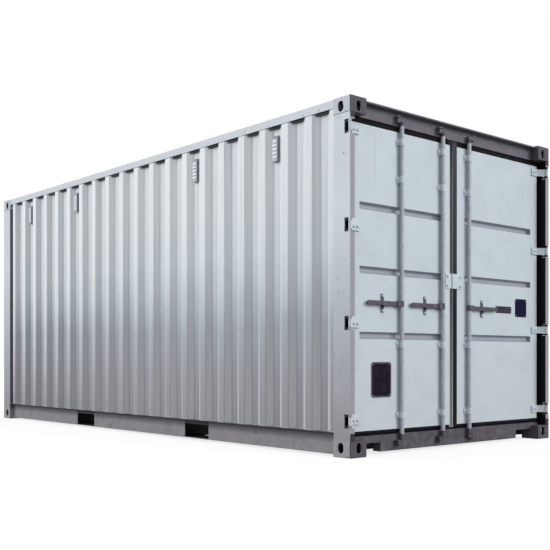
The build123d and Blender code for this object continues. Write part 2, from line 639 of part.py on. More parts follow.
# Door leaves
for name, sign in SIDES.items():
    inner_edge = sign * DOOR_INNER_EDGE
    outer_edge = sign * DOOR_OUTER_EDGE
    panel_inner = inner_edge + sign * STILE_WIDTH
    panel_outer = outer_edge - sign * STILE_WIDTH
    panel_bottom = DOOR_BOTTOM + DOOR_RAIL_WIDTH
    panel_top = DOOR_TOP - DOOR_RAIL_WIDTH

    with BuildPart() as door_frame:
        block((LEAF_X, FACE_X), (inner_edge, outer_edge), (DOOR_BOTTOM, DOOR_TOP))
        block((LEAF_X, FACE_X), (panel_inner, panel_outer), (panel_bottom, panel_top), mode=Mode.SUBTRACT)
    save(door_frame, f"{name}_door_frame")

    with BuildPart() as door_panel:
        path = [(FACE_X, panel_bottom)]
        for groove_z in [DOOR_BOTTOM + share * DOOR_HEIGHT for share in GROOVE_SHARES]:
            path += [
                (FACE_X, groove_z - GROOVE_OPENING / 2),
                (FACE_X - GROOVE_DEPTH, groove_z - GROOVE_FLOOR / 2),
                (FACE_X - GROOVE_DEPTH, groove_z + GROOVE_FLOOR / 2),
                (FACE_X, groove_z + GROOVE_OPENING / 2),
            ]
        path += [(FACE_X, panel_top)]
        extrude(
            bent_sheet(Plane.XZ.offset(-panel_inner), path, side=Side.LEFT),
            amount=panel_inner - panel_outer,
        )
    save(door_panel, f"{name}_door_panel")

    with BuildPart() as door_gasket:
        gasket_x = (LEAF_X + GASKET_INSET, FACE_X - GASKET_INSET)
        gasket_inner = LEFT_GASKET_EDGE if sign < 0 else RIGHT_GASKET_EDGE
        gasket_outer = outer_edge + sign * GASKET_HINGE_SIDE
        block(gasket_x, (gasket_inner, gasket_outer), (DOOR_BOTTOM - GASKET_BOTTOM, DOOR_TOP + GASKET_TOP))
        block(gasket_x, (inner_edge, outer_edge), (DOOR_BOTTOM, DOOR_TOP), mode=Mode.SUBTRACT)
    save(door_gasket, f"{name}_door_gasket")

    with BuildPart() as hinge_blades:
        strap_x = FACE_X + BLADE_THICKNESS / 2
        arm = Vector(PIN_X - strap_x, PIN_Y - BLADE_CORNER).normalized()
        for hinge_z in HINGE_HEIGHTS:
            with BuildSketch(Plane.XY.offset(hinge_z - BLADE_HEIGHT / 2)):
                with BuildLine():
                    Polyline(
                        (FACE_X, sign * BLADE_INNER_EDGE),
                        (FACE_X, sign * BLADE_CORNER),
                        (PIN_X - KNUCKLE_RADIUS * arm.Y, sign * (PIN_Y + KNUCKLE_RADIUS * arm.X)),
                        (PIN_X, sign * PIN_Y),
                        (FACE_X + BLADE_THICKNESS, sign * BLADE_CORNER),
                        (FACE_X + BLADE_THICKNESS, sign * BLADE_INNER_EDGE),
                        close=True,
                    )
                make_face()
                with Locations((PIN_X, sign * PIN_Y)):
                    RegularPolygon(KNUCKLE_RADIUS, HINGE_SIDES)
                    RegularPolygon(BORE_RADIUS, HINGE_SIDES, major_radius=False, mode=Mode.SUBTRACT)
            extrude(amount=BLADE_HEIGHT)
    save(hinge_blades, f"{name}_hinge_blades")

    with BuildPart() as bar_brackets:
        for bar_y in [y for y in LOCK_BARS.values() if y * sign > 0]:
            for bracket_z in [DOOR_BOTTOM + share * DOOR_HEIGHT for share in BRACKET_SHARES]:
                bore = BAR_RADIUS + BAR_CLEARANCE
                with BuildSketch(Plane.XY.offset(bracket_z - BRACKET_HEIGHT / 2)):
                    with Locations((FACE_X + BRACKET_FOOT / 2, bar_y)):
                        Rectangle(BRACKET_FOOT, 2 * BRACKET_FOOT_REACH)
                    with Locations((FACE_X + BAR_STANDOFF / 2, bar_y)):
                        Rectangle(BAR_STANDOFF, 2 * (bore + BRACKET_WALL))
                    with Locations((BAR_X, bar_y)):
                        RegularPolygon(bore + BRACKET_WALL, BAR_SIDES)
                        RegularPolygon(bore, BAR_SIDES, major_radius=False, mode=Mode.SUBTRACT)
                extrude(amount=BRACKET_HEIGHT)
    save(bar_brackets, f"{name}_bar_brackets")

    with BuildPart() as handle_rests:
        for bar_y in [y for y in LOCK_BARS.values() if y * sign > 0]:
            rest_y = bar_y + sign * REST_FROM_BAR
            y_span = (rest_y - REST_WIDTH / 2, rest_y + REST_WIDTH / 2)
            z_span = (HANDLE_LEVEL - REST_HEIGHT / 2, HANDLE_LEVEL + REST_HEIGHT / 2)
            shelf_top = HANDLE_LEVEL - HANDLE_RADIUS - MOVING_GAP
            block((FACE_X, FACE_X + REST_FOOT), y_span, z_span)
            block((FACE_X, FACE_X + REST_REACH), y_span, (shelf_top - REST_SHELF, shelf_top))
    save(handle_rests, f"{name}_handle_rests")

# A plate on each leaf reaches over the gap between the leaves
for name, edge, gasket_edge in (
    ("left", -CENTRE_PLATE_EDGE, LEFT_GASKET_EDGE),
    ("right", CENTRE_PLATE_EDGE, RIGHT_GASKET_EDGE),
):
    with BuildPart() as centre_plate:
        plate_z = DOOR_BOTTOM + CENTRE_PLATE_SHARE * DOOR_HEIGHT
        block(
            (FACE_X, FACE_X + CENTRE_PLATE_THICKNESS),
            (gasket_edge, edge),
            (plate_z - CENTRE_PLATE_HEIGHT / 2, plate_z + CENTRE_PLATE_HEIGHT / 2),
        )
    save(centre_plate, f"{name}_centre_plate")

# Lock bars with a forked hub for the handle, and a cam with its horn at each end
for name, bar_y in LOCK_BARS.items():
    out = 1 if bar_y > 0 else -1
    pivot_y = bar_y + out * HANDLE_PIVOT
    hub_inner = HANDLE_THICKNESS / 2 + HUB_GAP
    hub_outer = hub_inner + HUB_THICKNESS

    with BuildPart() as lock_bar:
        with BuildSketch(Plane.XY.offset(BAR_BOTTOM + CAM_HEIGHT)):
            with Locations((BAR_X, bar_y)):
                Circle(BAR_RADIUS)
        extrude(amount=BAR_TOP - BAR_BOTTOM - 2 * CAM_HEIGHT)
        for plate_x in (BAR_X - hub_outer, BAR_X + hub_inner):
            block(
                (plate_x, plate_x + HUB_THICKNESS),
                (bar_y, pivot_y + out * HANDLE_RADIUS),
                (HANDLE_LEVEL - HUB_HALF_HEIGHT, HANDLE_LEVEL + HUB_HALF_HEIGHT),
            )
        with BuildSketch(Plane.YZ.offset(BAR_X)):
            with Locations((pivot_y, HANDLE_LEVEL)):
                Circle(RIVET_RADIUS)
        extrude(amount=hub_outer, both=True)
    save(lock_bar, f"{name}_bar")

    with BuildPart() as cams:
        for cam_z in CAM_HEIGHTS:
            with BuildSketch(Plane.XY.offset(cam_z)):
                with Locations((BAR_X, bar_y)):
                    RegularPolygon(CAM_RADIUS, BAR_SIDES)
            extrude(amount=CAM_HEIGHT / 2, both=True)
            block(
                (BAR_X - HORN_WIDTH / 2, BAR_X + HORN_WIDTH / 2),
                (bar_y, bar_y + out * HORN_LENGTH),
                (cam_z - HORN_HEIGHT / 2, cam_z + HORN_HEIGHT / 2),
            )
    save(cams, f"{name}_cams")

    with BuildPart() as handle:
        tip_y = bar_y + out * (HANDLE_LENGTH - HANDLE_RADIUS)
        with BuildSketch(Plane.YZ.offset(BAR_X)):
            with Locations(((pivot_y + tip_y) / 2, HANDLE_LEVEL)):
                Rectangle(abs(tip_y - pivot_y), 2 * HANDLE_RADIUS)
            with Locations((pivot_y, HANDLE_LEVEL), (tip_y, HANDLE_LEVEL)):
                RegularPolygon(HANDLE_RADIUS, HINGE_SIDES)
            with Locations((pivot_y, HANDLE_LEVEL)):
                rivet_bore = RIVET_RADIUS + PIN_CLEARANCE
                RegularPolygon(rivet_bore, HINGE_SIDES, major_radius=False, mode=Mode.SUBTRACT)
        extrude(amount=HANDLE_THICKNESS / 2, both=True)
    save(handle, f"{name}_handle")
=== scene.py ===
import math

import bpy
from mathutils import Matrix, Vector


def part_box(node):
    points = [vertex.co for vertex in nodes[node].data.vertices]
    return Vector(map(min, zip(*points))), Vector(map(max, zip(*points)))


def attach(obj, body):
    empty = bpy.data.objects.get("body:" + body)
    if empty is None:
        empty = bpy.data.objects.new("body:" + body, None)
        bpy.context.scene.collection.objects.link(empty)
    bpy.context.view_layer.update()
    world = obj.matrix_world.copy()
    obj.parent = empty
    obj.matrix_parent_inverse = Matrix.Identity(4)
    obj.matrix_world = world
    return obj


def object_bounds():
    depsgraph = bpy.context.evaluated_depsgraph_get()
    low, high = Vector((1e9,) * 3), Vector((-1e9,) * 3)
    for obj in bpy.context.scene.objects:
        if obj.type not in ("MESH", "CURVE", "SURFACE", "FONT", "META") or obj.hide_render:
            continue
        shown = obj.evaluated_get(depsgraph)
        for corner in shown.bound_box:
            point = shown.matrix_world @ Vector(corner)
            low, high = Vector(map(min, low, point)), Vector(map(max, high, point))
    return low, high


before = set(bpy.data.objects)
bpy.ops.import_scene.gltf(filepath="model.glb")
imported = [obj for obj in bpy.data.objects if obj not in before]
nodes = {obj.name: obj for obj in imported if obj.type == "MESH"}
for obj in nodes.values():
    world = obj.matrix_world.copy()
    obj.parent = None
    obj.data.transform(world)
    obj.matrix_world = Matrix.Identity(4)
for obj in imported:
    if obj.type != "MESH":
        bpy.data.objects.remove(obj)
cad_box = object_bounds()

# Places and sizes on the container that the pieces are set against, in metres
TOP = cad_box[1].z
LEFT_AND_RIGHT = (("left", -1), ("right", 1))
# Castings and posts
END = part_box("bottom_corner_castings")[1].x
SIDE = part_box("bottom_corner_castings")[1].y
CASTING_LENGTH = 0.178
CASTING_WIDTH = 0.162
CASTING_HEIGHT = 0.118
CASTING_WALL = 0.0115
POST_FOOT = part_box("rear_left_post")[0].z
POST_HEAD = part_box("rear_left_post")[1].z
BEAD_RADIUS = 0.004
BEAD_RUN = 0.172
BEAD_SUNK = 0.0045
# Doors and what is bolted to them
DOOR_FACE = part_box("left_door_frame")[1].x
LEAF_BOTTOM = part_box("left_door_frame")[0].z
LEAF_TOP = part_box("left_door_frame")[1].z
LEAF_HEIGHT = LEAF_TOP - LEAF_BOTTOM
HINGE_FIRST = LEAF_BOTTOM + 0.083
HINGE_LAST = LEAF_TOP - 0.057
HINGE_LEVELS = [HINGE_FIRST + step * (HINGE_LAST - HINGE_FIRST) / 3 for step in range(4)]
HINGE_BOLTS = (1.08, 1.116)
BLADE_THICKNESS = 0.012
BRACKET_LEVELS = [LEAF_BOTTOM + share * LEAF_HEIGHT for share in (0.047, 0.285, 0.84, 0.967)]
BRACKET_BOLT = 0.032
BRACKET_BASE = 0.006
BARS = {"left_outer": -0.628, "left_inner": -0.155, "right": 0.1715}
BAR_X = DOOR_FACE + 0.024
COLLAR_FROM_BRACKET = 0.031
HANDLE_LEVEL = 1.125
REST_FROM_BAR = 0.19
REST_BOLT = 0.056
REST_BASE = 0.005
STAPLE_UNDER_HANDLE = 0.092
CENTRE_PLATE_LEVEL = LEAF_BOTTOM + 0.514 * LEAF_HEIGHT
CENTRE_PLATE_BOLT = 0.038
CENTRE_PLATE_MIDDLE = 0.08
CENTRE_PLATE_THICKNESS = 0.006
PLATE_THICKNESS = 0.003
PLATE_FIELD_DEPTH = 0.001
RIVET_RADIUS = 0.004
RIVET_SEAT = 0.0018
RIVET_FROM_RIM = 0.008
# Long sides and their vents
WALL_CREST = 1.215
WALL_TROUGH = 1.179
WALL_FOOT = 0.179
WALL_HEAD = 2.523
CORRUGATION_START = END - CASTING_LENGTH
CORRUGATION = 0.28
CORRUGATIONS = 20
HALF_CREST = 0.036
SLOPE_LENGTH = 0.069
TROUGH_LENGTH = 0.07
VENT_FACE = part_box("vents")[1].y
VENT_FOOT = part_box("vents")[0].z
VENT_MIDDLES = [CORRUGATION_START - (troughs + 0.5) * CORRUGATION for troughs in (2, 6, 14, 18)]
VENT_RIVETS_ACROSS = (-0.024, 0.024)
VENT_RIVETS_UP = (0.01, 0.167)
SLAT_FIRST = 0.032
SLAT_SPACING = 0.03
SLATS = 5
SEAM_INSET = 0.001
# Roof, header, bottom rails and floor
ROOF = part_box("roof_panel")[1].z
DOUBLER_ALONG = (2.55, 2.846)
DOUBLER_ACROSS = (0.93, 1.208)
RAIN_LIP_HEIGHT = 0.012
RAIN_LIP_REACH = 0.052
RAIL_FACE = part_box("bottom_rail_skirts")[1].y
POCKET_WIDTH = 0.36
POCKET_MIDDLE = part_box("fork_pocket_tops")[1].x - POCKET_WIDTH / 2
FLOOR_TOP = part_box("floor")[1].z
FIRST_CROSS_MEMBER = -2.66
CROSS_MEMBER_SPACING = 0.28
CROSS_MEMBERS = 20
FLOOR_SCREW_PROUD = 0.0004
FLOOR_SCREWS_ACROSS = (-1.0, -0.6, -0.2, 0.2, 0.6, 1.0)

# A face looks in a direction if its normal has this much of it
NEARLY = 0.9
# The two colour sockets of a Mix node, and the ways in which the upper colour lies on the lower one
UNDER, OVER = 6, 7
LAID_ON = {"data_type": "RGBA"}
MULTIPLIED = {"data_type": "RGBA", "blend_type": "MULTIPLY"}
# Weathered paint reflects little, as its surface has gone chalky
WEATHERED = {"IOR": 1.48, "Specular IOR Level": 0.3}


def linear(code):
    """An sRGB hex colour as linear red, green, blue and alpha."""
    parts = [int(code[i : i + 2], 16) / 255 for i in (0, 2, 4)]
    return [p / 12.92 if p <= 0.04045 else ((p + 0.055) / 1.055) ** 2.4 for p in parts] + [1]


def add_node(tree, kind, inputs=None, **settings):
    """Add a node with its settings, and feed its inputs with values, sockets or other nodes' results. The
    stops of a colour ramp are (place, hex colour)."""
    node = tree.nodes.new("ShaderNode" + kind)
    for index, (place, code) in enumerate(settings.pop("stops", [])):
        elements = node.color_ramp.elements
        element = elements[index] if index < len(elements) else elements.new(1)
        element.position = place
        element.color = linear(code)
    for name, value in settings.items():
        setattr(node, name, value)
    for name, value in (inputs or {}).items():
        if isinstance(value, bpy.types.Node):
            # The colour that a Mix node gives is its third output
            value = value.outputs[2 if value.bl_idname == "ShaderNodeMix" else 0]
        if isinstance(value, bpy.types.NodeSocket):
            tree.links.new(value, node.inputs[name])
        else:
            node.inputs[name].default_value = value
    return node


def emptied_tree(holder):
    """The node tree of a material or a world, with nothing in it."""
    holder.use_nodes = True
    holder.node_tree.nodes.clear()
    return holder.node_tree


def material_of(finish, name=None, **choices):
    """A material whose shader comes from a finish, which is given the tree and the place on the piece."""
    material = bpy.data.materials.new(name or finish.__name__)
    tree = emptied_tree(material)
    place = add_node(tree, "TexCoord").outputs["Object"]
    add_node(tree, "OutputMaterial", {"Surface": finish(tree, place, **choices)})
    return material


def show_to_the_eye(tree, lighting, shown, output):
    """Let the camera, gloss and glass see one shader, and light the container with another."""
    rays = add_node(tree, "LightPath").outputs
    seen = add_node(tree, "Math", {0: rays["Is Camera Ray"], 1: rays["Is Glossy Ray"]}, operation="MAXIMUM")
    seen = add_node(tree, "Math", {0: seen, 1: rays["Is Transmission Ray"]}, operation="MAXIMUM")
    add_node(tree, output, {"Surface": add_node(tree, "MixShader", {0: seen, 1: lighting, 2: shown})})


def stained(tree, under, pattern, code, start, full, depth):
    """Lay a stain on a finish where a pattern is strong: none below start, and depth of it from full on."""
    strength = add_node(
        tree, "MapRange", {"Value": pattern, "From Min": start, "From Max": full, "To Max": depth}
    )
    return add_node(tree, "Mix", {"Factor": strength, UNDER: under, OVER: linear(code)}, **LAID_ON)


def laid_where_all(tree, under, masks, code, way=LAID_ON):
    """Lay a colour on a finish where several masks meet."""
    where = masks[0]
    for mask in masks[1:]:
        where = add_node(tree, "Math", {0: where, 1: mask}, operation="MULTIPLY")
    return add_node(tree, "Mix", {"Factor": where, UNDER: under, OVER: linear(code)}, **way)


def coated_within(tree, under, axis, middle, half, over):
    """Lay a colour on a finish between two places on an axis."""
    within = add_node(tree, "Math", {0: axis, 1: middle, 2: half}, operation="COMPARE")
    return add_node(tree, "Mix", {"Factor": within, UNDER: under, OVER: over}, **LAID_ON)


def sprayed_skin(tree, place, strength):
    """The orange-peel skin that spraying leaves, drawn at 15 mm because its own 3 mm would not show."""
    peel = add_node(tree, "TexNoise", {"Vector": place, "Scale": 1000 / 15, "Detail": 2})
    return add_node(tree, "Bump", {"Strength": strength, "Distance": 0.002, "Height": peel})


def marine_paint_on_walls(tree, place):
    """Alkyd marine paint sprayed on pressed steel: pale near the roof and darker towards the ground, with
    painted shade and painted light on the corrugations, faint upright rain streaks and a few rust specks."""
    axes = add_node(tree, "SeparateXYZ", {"Vector": place}).outputs
    # Noise clouds about 400 mm across make the line where the paint darkens uneven
    clouds = add_node(tree, "TexNoise", {"Vector": place, "Scale": 1000 / 400, "Detail": 3})
    sway = add_node(tree, "Math", {0: clouds, 1: 0.3, 2: axes["Z"]}, operation="MULTIPLY_ADD")
    height = add_node(tree, "MapRange", {"Value": sway, "From Min": 0.35, "From Max": 2.05})
    # Pale near the roof and darker towards the ground
    tones = [(0, "989a9f"), (0.22, "a3a6ad"), (0.45, "b0b8c2")]
    tones += [(0.66, "d8e2ea"), (0.8, "e8f1f7"), (1, "eef5fa")]
    dust = add_node(tree, "ValToRGB", {"Fac": height}, stops=tones)
    # Painted shade darkens the wall towards the doors, standing in for light that falls off there
    painted_falloff = add_node(tree, "MapRange", {"Value": axes["X"], "From Min": 0.9, "From Max": 2.8})
    falloff_shaded = add_node(tree, "Mix", {"Factor": painted_falloff, UNDER: dust, OVER: linear("f0f1f2")}, **MULTIPLIED)
    # Painted shade in the troughs of the corrugations, which come out darker than the crests
    reach = add_node(tree, "Math", {0: axes["Y"]}, operation="ABSOLUTE")
    trough_edge = {"From Min": WALL_TROUGH + 0.001, "From Max": WALL_TROUGH + 0.011, "To Min": 1, "To Max": 0}
    trough = add_node(tree, "MapRange", {"Value": reach, **trough_edge})
    trough_painted_shade = add_node(tree, "Mix", {"Factor": trough, UNDER: falloff_shaded, OVER: linear("ececee")}, **MULTIPLIED)
    # Painted light on the slopes near the ground, most of it towards the doors
    slope_span = {1: (WALL_CREST + WALL_TROUGH) / 2, 2: 0.015}
    slope = add_node(tree, "Math", {0: reach, **slope_span}, operation="COMPARE")
    low = add_node(
        tree, "MapRange", {"Value": axes["Z"], "From Min": 0.4, "From Max": 2.2, "To Min": 0.6, "To Max": 0}
    )
    near = add_node(tree, "MapRange", {"Value": axes["X"], "From Min": -2.2, "From Max": 0.8, "To Min": 0.4})
    slopes_painted_light = laid_where_all(tree, trough_painted_shade, [slope, low, near], "d4d6da")
    # Towards the front end painted shade darkens the slopes, and painted light brightens the crests
    far = add_node(
        tree, "MapRange", {"Value": axes["X"], "From Min": -2.4, "From Max": 0.6, "To Min": 1, "To Max": 0}
    )
    slopes_painted_shade = laid_where_all(tree, slopes_painted_light, [slope, far], "e5e5e9", MULTIPLIED)
    crest_span = {1: WALL_CREST, 2: 0.003}
    crest = add_node(tree, "Math", {0: reach, **crest_span}, operation="COMPARE")
    crests_painted_light = laid_where_all(tree, slopes_painted_shade, [crest, far, height], "fafdff")
    # Painted shadow in the troughs, right under the top rail
    hollow_span = {1: WALL_TROUGH + 0.0105, 2: 0.0115}
    hollow = add_node(tree, "Math", {0: reach, **hollow_span}, operation="COMPARE")
    under_rail = {"From Min": WALL_HEAD - 0.03, "From Max": WALL_HEAD - 0.014, "To Max": 0.95}
    under_rail_shadow = add_node(tree, "MapRange", {"Value": axes["Z"], **under_rail})
    rail_painted_shadow = laid_where_all(tree, crests_painted_light, [hollow, under_rail_shadow], "3b383e")
    # Rain streaks about 25 mm wide and a metre or more long
    stretch = add_node(tree, "Mapping", {"Vector": place, "Scale": (1000 / 25, 1000 / 25, 1000 / 1400)})
    streaks = add_node(tree, "TexNoise", {"Vector": stretch, "Scale": 1, "Detail": 4})
    streaked = stained(tree, rail_painted_shadow, streaks, "8f9196", start=0.5, full=0.75, depth=0.22)
    # Rust specks about 12 mm across, thin on the ground
    specks = add_node(tree, "TexNoise", {"Vector": place, "Scale": 1000 / 12, "Detail": 2})
    speckled = stained(tree, streaked, specks, "7b6455", start=0.735, full=0.76, depth=0.55)
    gloss = add_node(tree, "MapRange", {"Value": clouds, "To Min": 0.42, "To Max": 0.6})
    skin = sprayed_skin(tree, place, 0.12)
    coat = {"Base Color": speckled, "Roughness": gloss, "IOR": 1.48, "Normal": skin}
    return add_node(tree, "BsdfPrincipled", coat)


def paint_on_vent_hoods(tree, place):
    """The wall paint on the vents: clean on the front, with dark road film on the sides and underneath."""
    axes = add_node(tree, "SeparateXYZ", {"Vector": place}).outputs
    reach = add_node(tree, "Math", {0: axes["Y"]}, operation="ABSOLUTE")
    front = add_node(tree, "Math", {0: reach, 1: VENT_FACE - 0.001}, operation="GREATER_THAN")
    # Film about 20 mm in patches
    film = add_node(tree, "TexNoise", {"Vector": place, "Scale": 1000 / 20, "Detail": 3})
    sides = add_node(tree, "ValToRGB", {"Fac": film}, stops=[(0.35, "84828a"), (0.65, "9a98a0")])
    base = add_node(tree, "Mix", {"Factor": front, UNDER: sides, OVER: linear("d3dce4")}, **LAID_ON)
    sheen = add_node(tree, "MapRange", {"Value": film, "To Min": 0.5, "To Max": 0.7})
    return add_node(tree, "BsdfPrincipled", {"Base Color": base, "Roughness": sheen, **WEATHERED})


def marine_paint_on_doors(tree, place):
    """The same alkyd paint on the doors, cleaner and even from top to bottom, with thin rust runs."""
    axes = add_node(tree, "SeparateXYZ", {"Vector": place}).outputs
    height = add_node(tree, "MapRange", {"Value": axes["Z"], "From Min": 0.15, "From Max": 1.1})
    tones = [(0, "ccd4db"), (0.5, "ccd6de"), (1, "ccd8e0")]
    base = add_node(tree, "ValToRGB", {"Fac": height}, stops=tones)
    # Blotches about 220 mm across from handling and weather
    blotches = add_node(tree, "TexNoise", {"Vector": place, "Scale": 1000 / 220, "Detail": 4})
    blotched = stained(tree, base, blotches, "b6c0c8", start=0.45, full=0.7, depth=0.25)
    # Painted shade lies in the pressed grooves
    groove_span = {1: DOOR_FACE - 0.02, 2: 0.0175}
    groove_shade_depth = 0.75
    groove = add_node(tree, "Math", {0: axes["X"], **groove_span}, operation="COMPARE")
    groove_shade = add_node(tree, "Math", {0: groove, 1: groove_shade_depth}, operation="MULTIPLY")
    greyed = add_node(tree, "Mix", {"Factor": groove_shade, UNDER: blotched, OVER: linear("9696a4")}, **LAID_ON)
    # Rust runs about 14 mm wide and half a metre long
    stretch = add_node(tree, "Mapping", {"Vector": place, "Scale": (1000 / 14, 1000 / 14, 1000 / 600)})
    runs = add_node(tree, "TexNoise", {"Vector": stretch, "Scale": 1, "Detail": 3})
    worn = stained(tree, greyed, runs, "8d8078", start=0.66, full=0.8, depth=0.3)
    gloss = add_node(tree, "MapRange", {"Value": blotches, "To Min": 0.4, "To Max": 0.58})
    skin = sprayed_skin(tree, place, 0.1)
    coat = {"Base Color": worn, "Roughness": gloss, "IOR": 1.48, "Normal": skin}
    return add_node(tree, "BsdfPrincipled", coat)


def marine_paint_on_frame(tree, place):
    """The wall paint on posts and top rails: duller, with painted shade in the hinge recess of each rear
    post and a mid grey on the flange beside it."""
    axes = add_node(tree, "SeparateXYZ", {"Vector": place}).outputs
    # Noise clouds about 300 mm across make the line where the paint darkens uneven
    clouds = add_node(tree, "TexNoise", {"Vector": place, "Scale": 1000 / 300, "Detail": 4})
    sway = add_node(tree, "Math", {0: clouds, 1: 0.4, 2: axes["Z"]}, operation="MULTIPLY_ADD")
    height = add_node(tree, "MapRange", {"Value": sway, "From Min": 0.3, "From Max": 2.4})
    # Pale near the roof and darker towards the ground
    tones = [(0, "99999e"), (0.45, "bfc6cf"), (0.8, "dde6ee"), (1, "d8e1e9")]
    dust = add_node(tree, "ValToRGB", {"Fac": height}, stops=tones)
    # Scuffs about 45 mm across down to the primer
    scuffs = add_node(tree, "TexNoise", {"Vector": place, "Scale": 1000 / 45, "Detail": 5})
    scuffed = stained(tree, dust, scuffs, "7f7d80", start=0.62, full=0.7, depth=0.5)
    # The door end of each rear post: a flange painted mid grey, and painted shade in the recess behind it
    plate, recess_depth, flange_face, post_length = 0.0094, 0.1085, 0.0025, 0.185
    reach = add_node(tree, "Math", {0: axes["Y"]}, operation="ABSOLUTE")
    inside = add_node(tree, "Math", {0: reach, 1: SIDE - plate}, operation="LESS_THAN")
    rear = add_node(tree, "Math", {0: axes["X"], 1: END - recess_depth}, operation="GREATER_THAN")
    shade_darkened = laid_where_all(tree, scuffed, [inside, rear], "141217")
    flange = add_node(tree, "Math", {0: axes["X"], 1: END - flange_face}, operation="GREATER_THAN")
    greyed = add_node(tree, "Mix", {"Factor": flange, UNDER: shade_darkened, OVER: linear("9e9eaa")}, **LAID_ON)
    # Painted shadow runs over the flange beside the gaps above and below the doors
    leaf_span = {1: (LEAF_BOTTOM + LEAF_TOP) / 2, 2: LEAF_HEIGHT / 2 + 0.004}
    beside_leaf = add_node(tree, "Math", {0: axes["Z"], **leaf_span}, operation="COMPARE")
    beyond_leaf = add_node(tree, "Math", {0: 1, 1: beside_leaf}, operation="SUBTRACT")
    shade_blackened = laid_where_all(tree, greyed, [flange, beyond_leaf], "1c1a20")
    # Painted shade on the underside of the top rails, between the posts
    underside = add_node(tree, "Math", {0: axes["Z"], 1: WALL_HEAD, 2: 0.0015}, operation="COMPARE")
    between_posts = add_node(tree, "Math", {0: axes["X"], 1: 0, 2: END - post_length}, operation="COMPARE")
    rail_painted_shadow = laid_where_all(tree, shade_blackened, [underside, between_posts], "2c292f")
    # Painted shade in the corner where each front post turns in to meet its long side
    finished = coated_within(tree, rail_painted_shadow, axes["X"], CASTING_LENGTH - END, 0.0008, linear("6d6676"))
    gloss = add_node(tree, "MapRange", {"Value": clouds, "To Min": 0.48, "To Max": 0.66})
    skin = sprayed_skin(tree, place, 0.12)
    coat = {"Base Color": finished, "Roughness": gloss, "Normal": skin, **WEATHERED}
    return add_node(tree, "BsdfPrincipled", coat)


def marine_paint_on_roof(tree, place):
    """The wall paint on the roof: chalked by the sun, with dirt where rain stands in the troughs, and rust
    specks."""
    axes = add_node(tree, "SeparateXYZ", {"Vector": place}).outputs
    # Chalky patches about 250 mm across
    patches = add_node(tree, "TexNoise", {"Vector": place, "Scale": 1000 / 250, "Detail": 4})
    base = add_node(tree, "ValToRGB", {"Fac": patches}, stops=[(0.35, "a3abb3"), (0.65, "b6bfc7")])
    trough_edge = {"From Min": ROOF - 0.02, "From Max": ROOF - 0.006, "To Min": 1, "To Max": 0}
    trough = add_node(tree, "MapRange", {"Value": axes["Z"], **trough_edge})
    # Standing water leaves tide lines about 120 mm apart
    tides = add_node(tree, "TexNoise", {"Vector": place, "Scale": 1000 / 120, "Detail": 6})
    tide_depth = add_node(tree, "MapRange", {"Value": tides, "From Min": 0.35, "From Max": 0.6})
    silted = laid_where_all(tree, base, [trough, tide_depth], "d9d7d3", MULTIPLIED)
    # Rust specks about 14 mm across
    specks = add_node(tree, "TexNoise", {"Vector": place, "Scale": 1000 / 14, "Detail": 2})
    speckled = stained(tree, silted, specks, "74594a", start=0.7, full=0.74, depth=0.6)
    bump = add_node(tree, "Bump", {"Strength": 0.15, "Distance": 0.002, "Height": tides})
    chalk = add_node(tree, "MapRange", {"Value": patches, "To Min": 0.55, "To Max": 0.75})
    coat = {"Base Color": speckled, "Roughness": chalk, "Normal": bump, **WEATHERED}
    return add_node(tree, "BsdfPrincipled", coat)


def dark_paint_on_beams(tree, place):
    """Dark grey chassis paint on header and sill: lighter on the header as painted light, chipped to pale
    primer, with rust in the chips."""
    axes = add_node(tree, "SeparateXYZ", {"Vector": place}).outputs
    # Scuffs about 60 mm across
    scuffs = add_node(tree, "TexNoise", {"Vector": place, "Scale": 1000 / 60, "Detail": 5})
    tones = [(0.3, "46424b"), (0.5, "524e57"), (0.7, "625e68")]
    base = add_node(tree, "ValToRGB", {"Fac": scuffs}, stops=tones)
    # Painted light: the paint grows lighter upwards, most on the header
    header_painted_light = stained(tree, base, axes["Z"], "8f8b98", start=0.2, full=2.4, depth=0.34)
    # Chips about 9 mm across
    chips = add_node(tree, "TexNoise", {"Vector": place, "Scale": 1000 / 9, "Detail": 2})
    chip_edge = add_node(tree, "MapRange", {"Value": chips, "From Min": 0.68, "From Max": 0.7, "To Max": 0.8})
    rust = add_node(tree, "ValToRGB", {"Fac": scuffs}, stops=[(0.4, "6d4f3f"), (0.6, "8a868b")])
    chipped = add_node(tree, "Mix", {"Factor": chip_edge, UNDER: header_painted_light, OVER: rust}, **LAID_ON)
    bump = add_node(tree, "Bump", {"Strength": 0.3, "Distance": 0.001, "Height": chip_edge}, invert=True)
    coat = {"Base Color": chipped, "Roughness": 0.6, "Normal": bump, **WEATHERED}
    return add_node(tree, "BsdfPrincipled", coat)


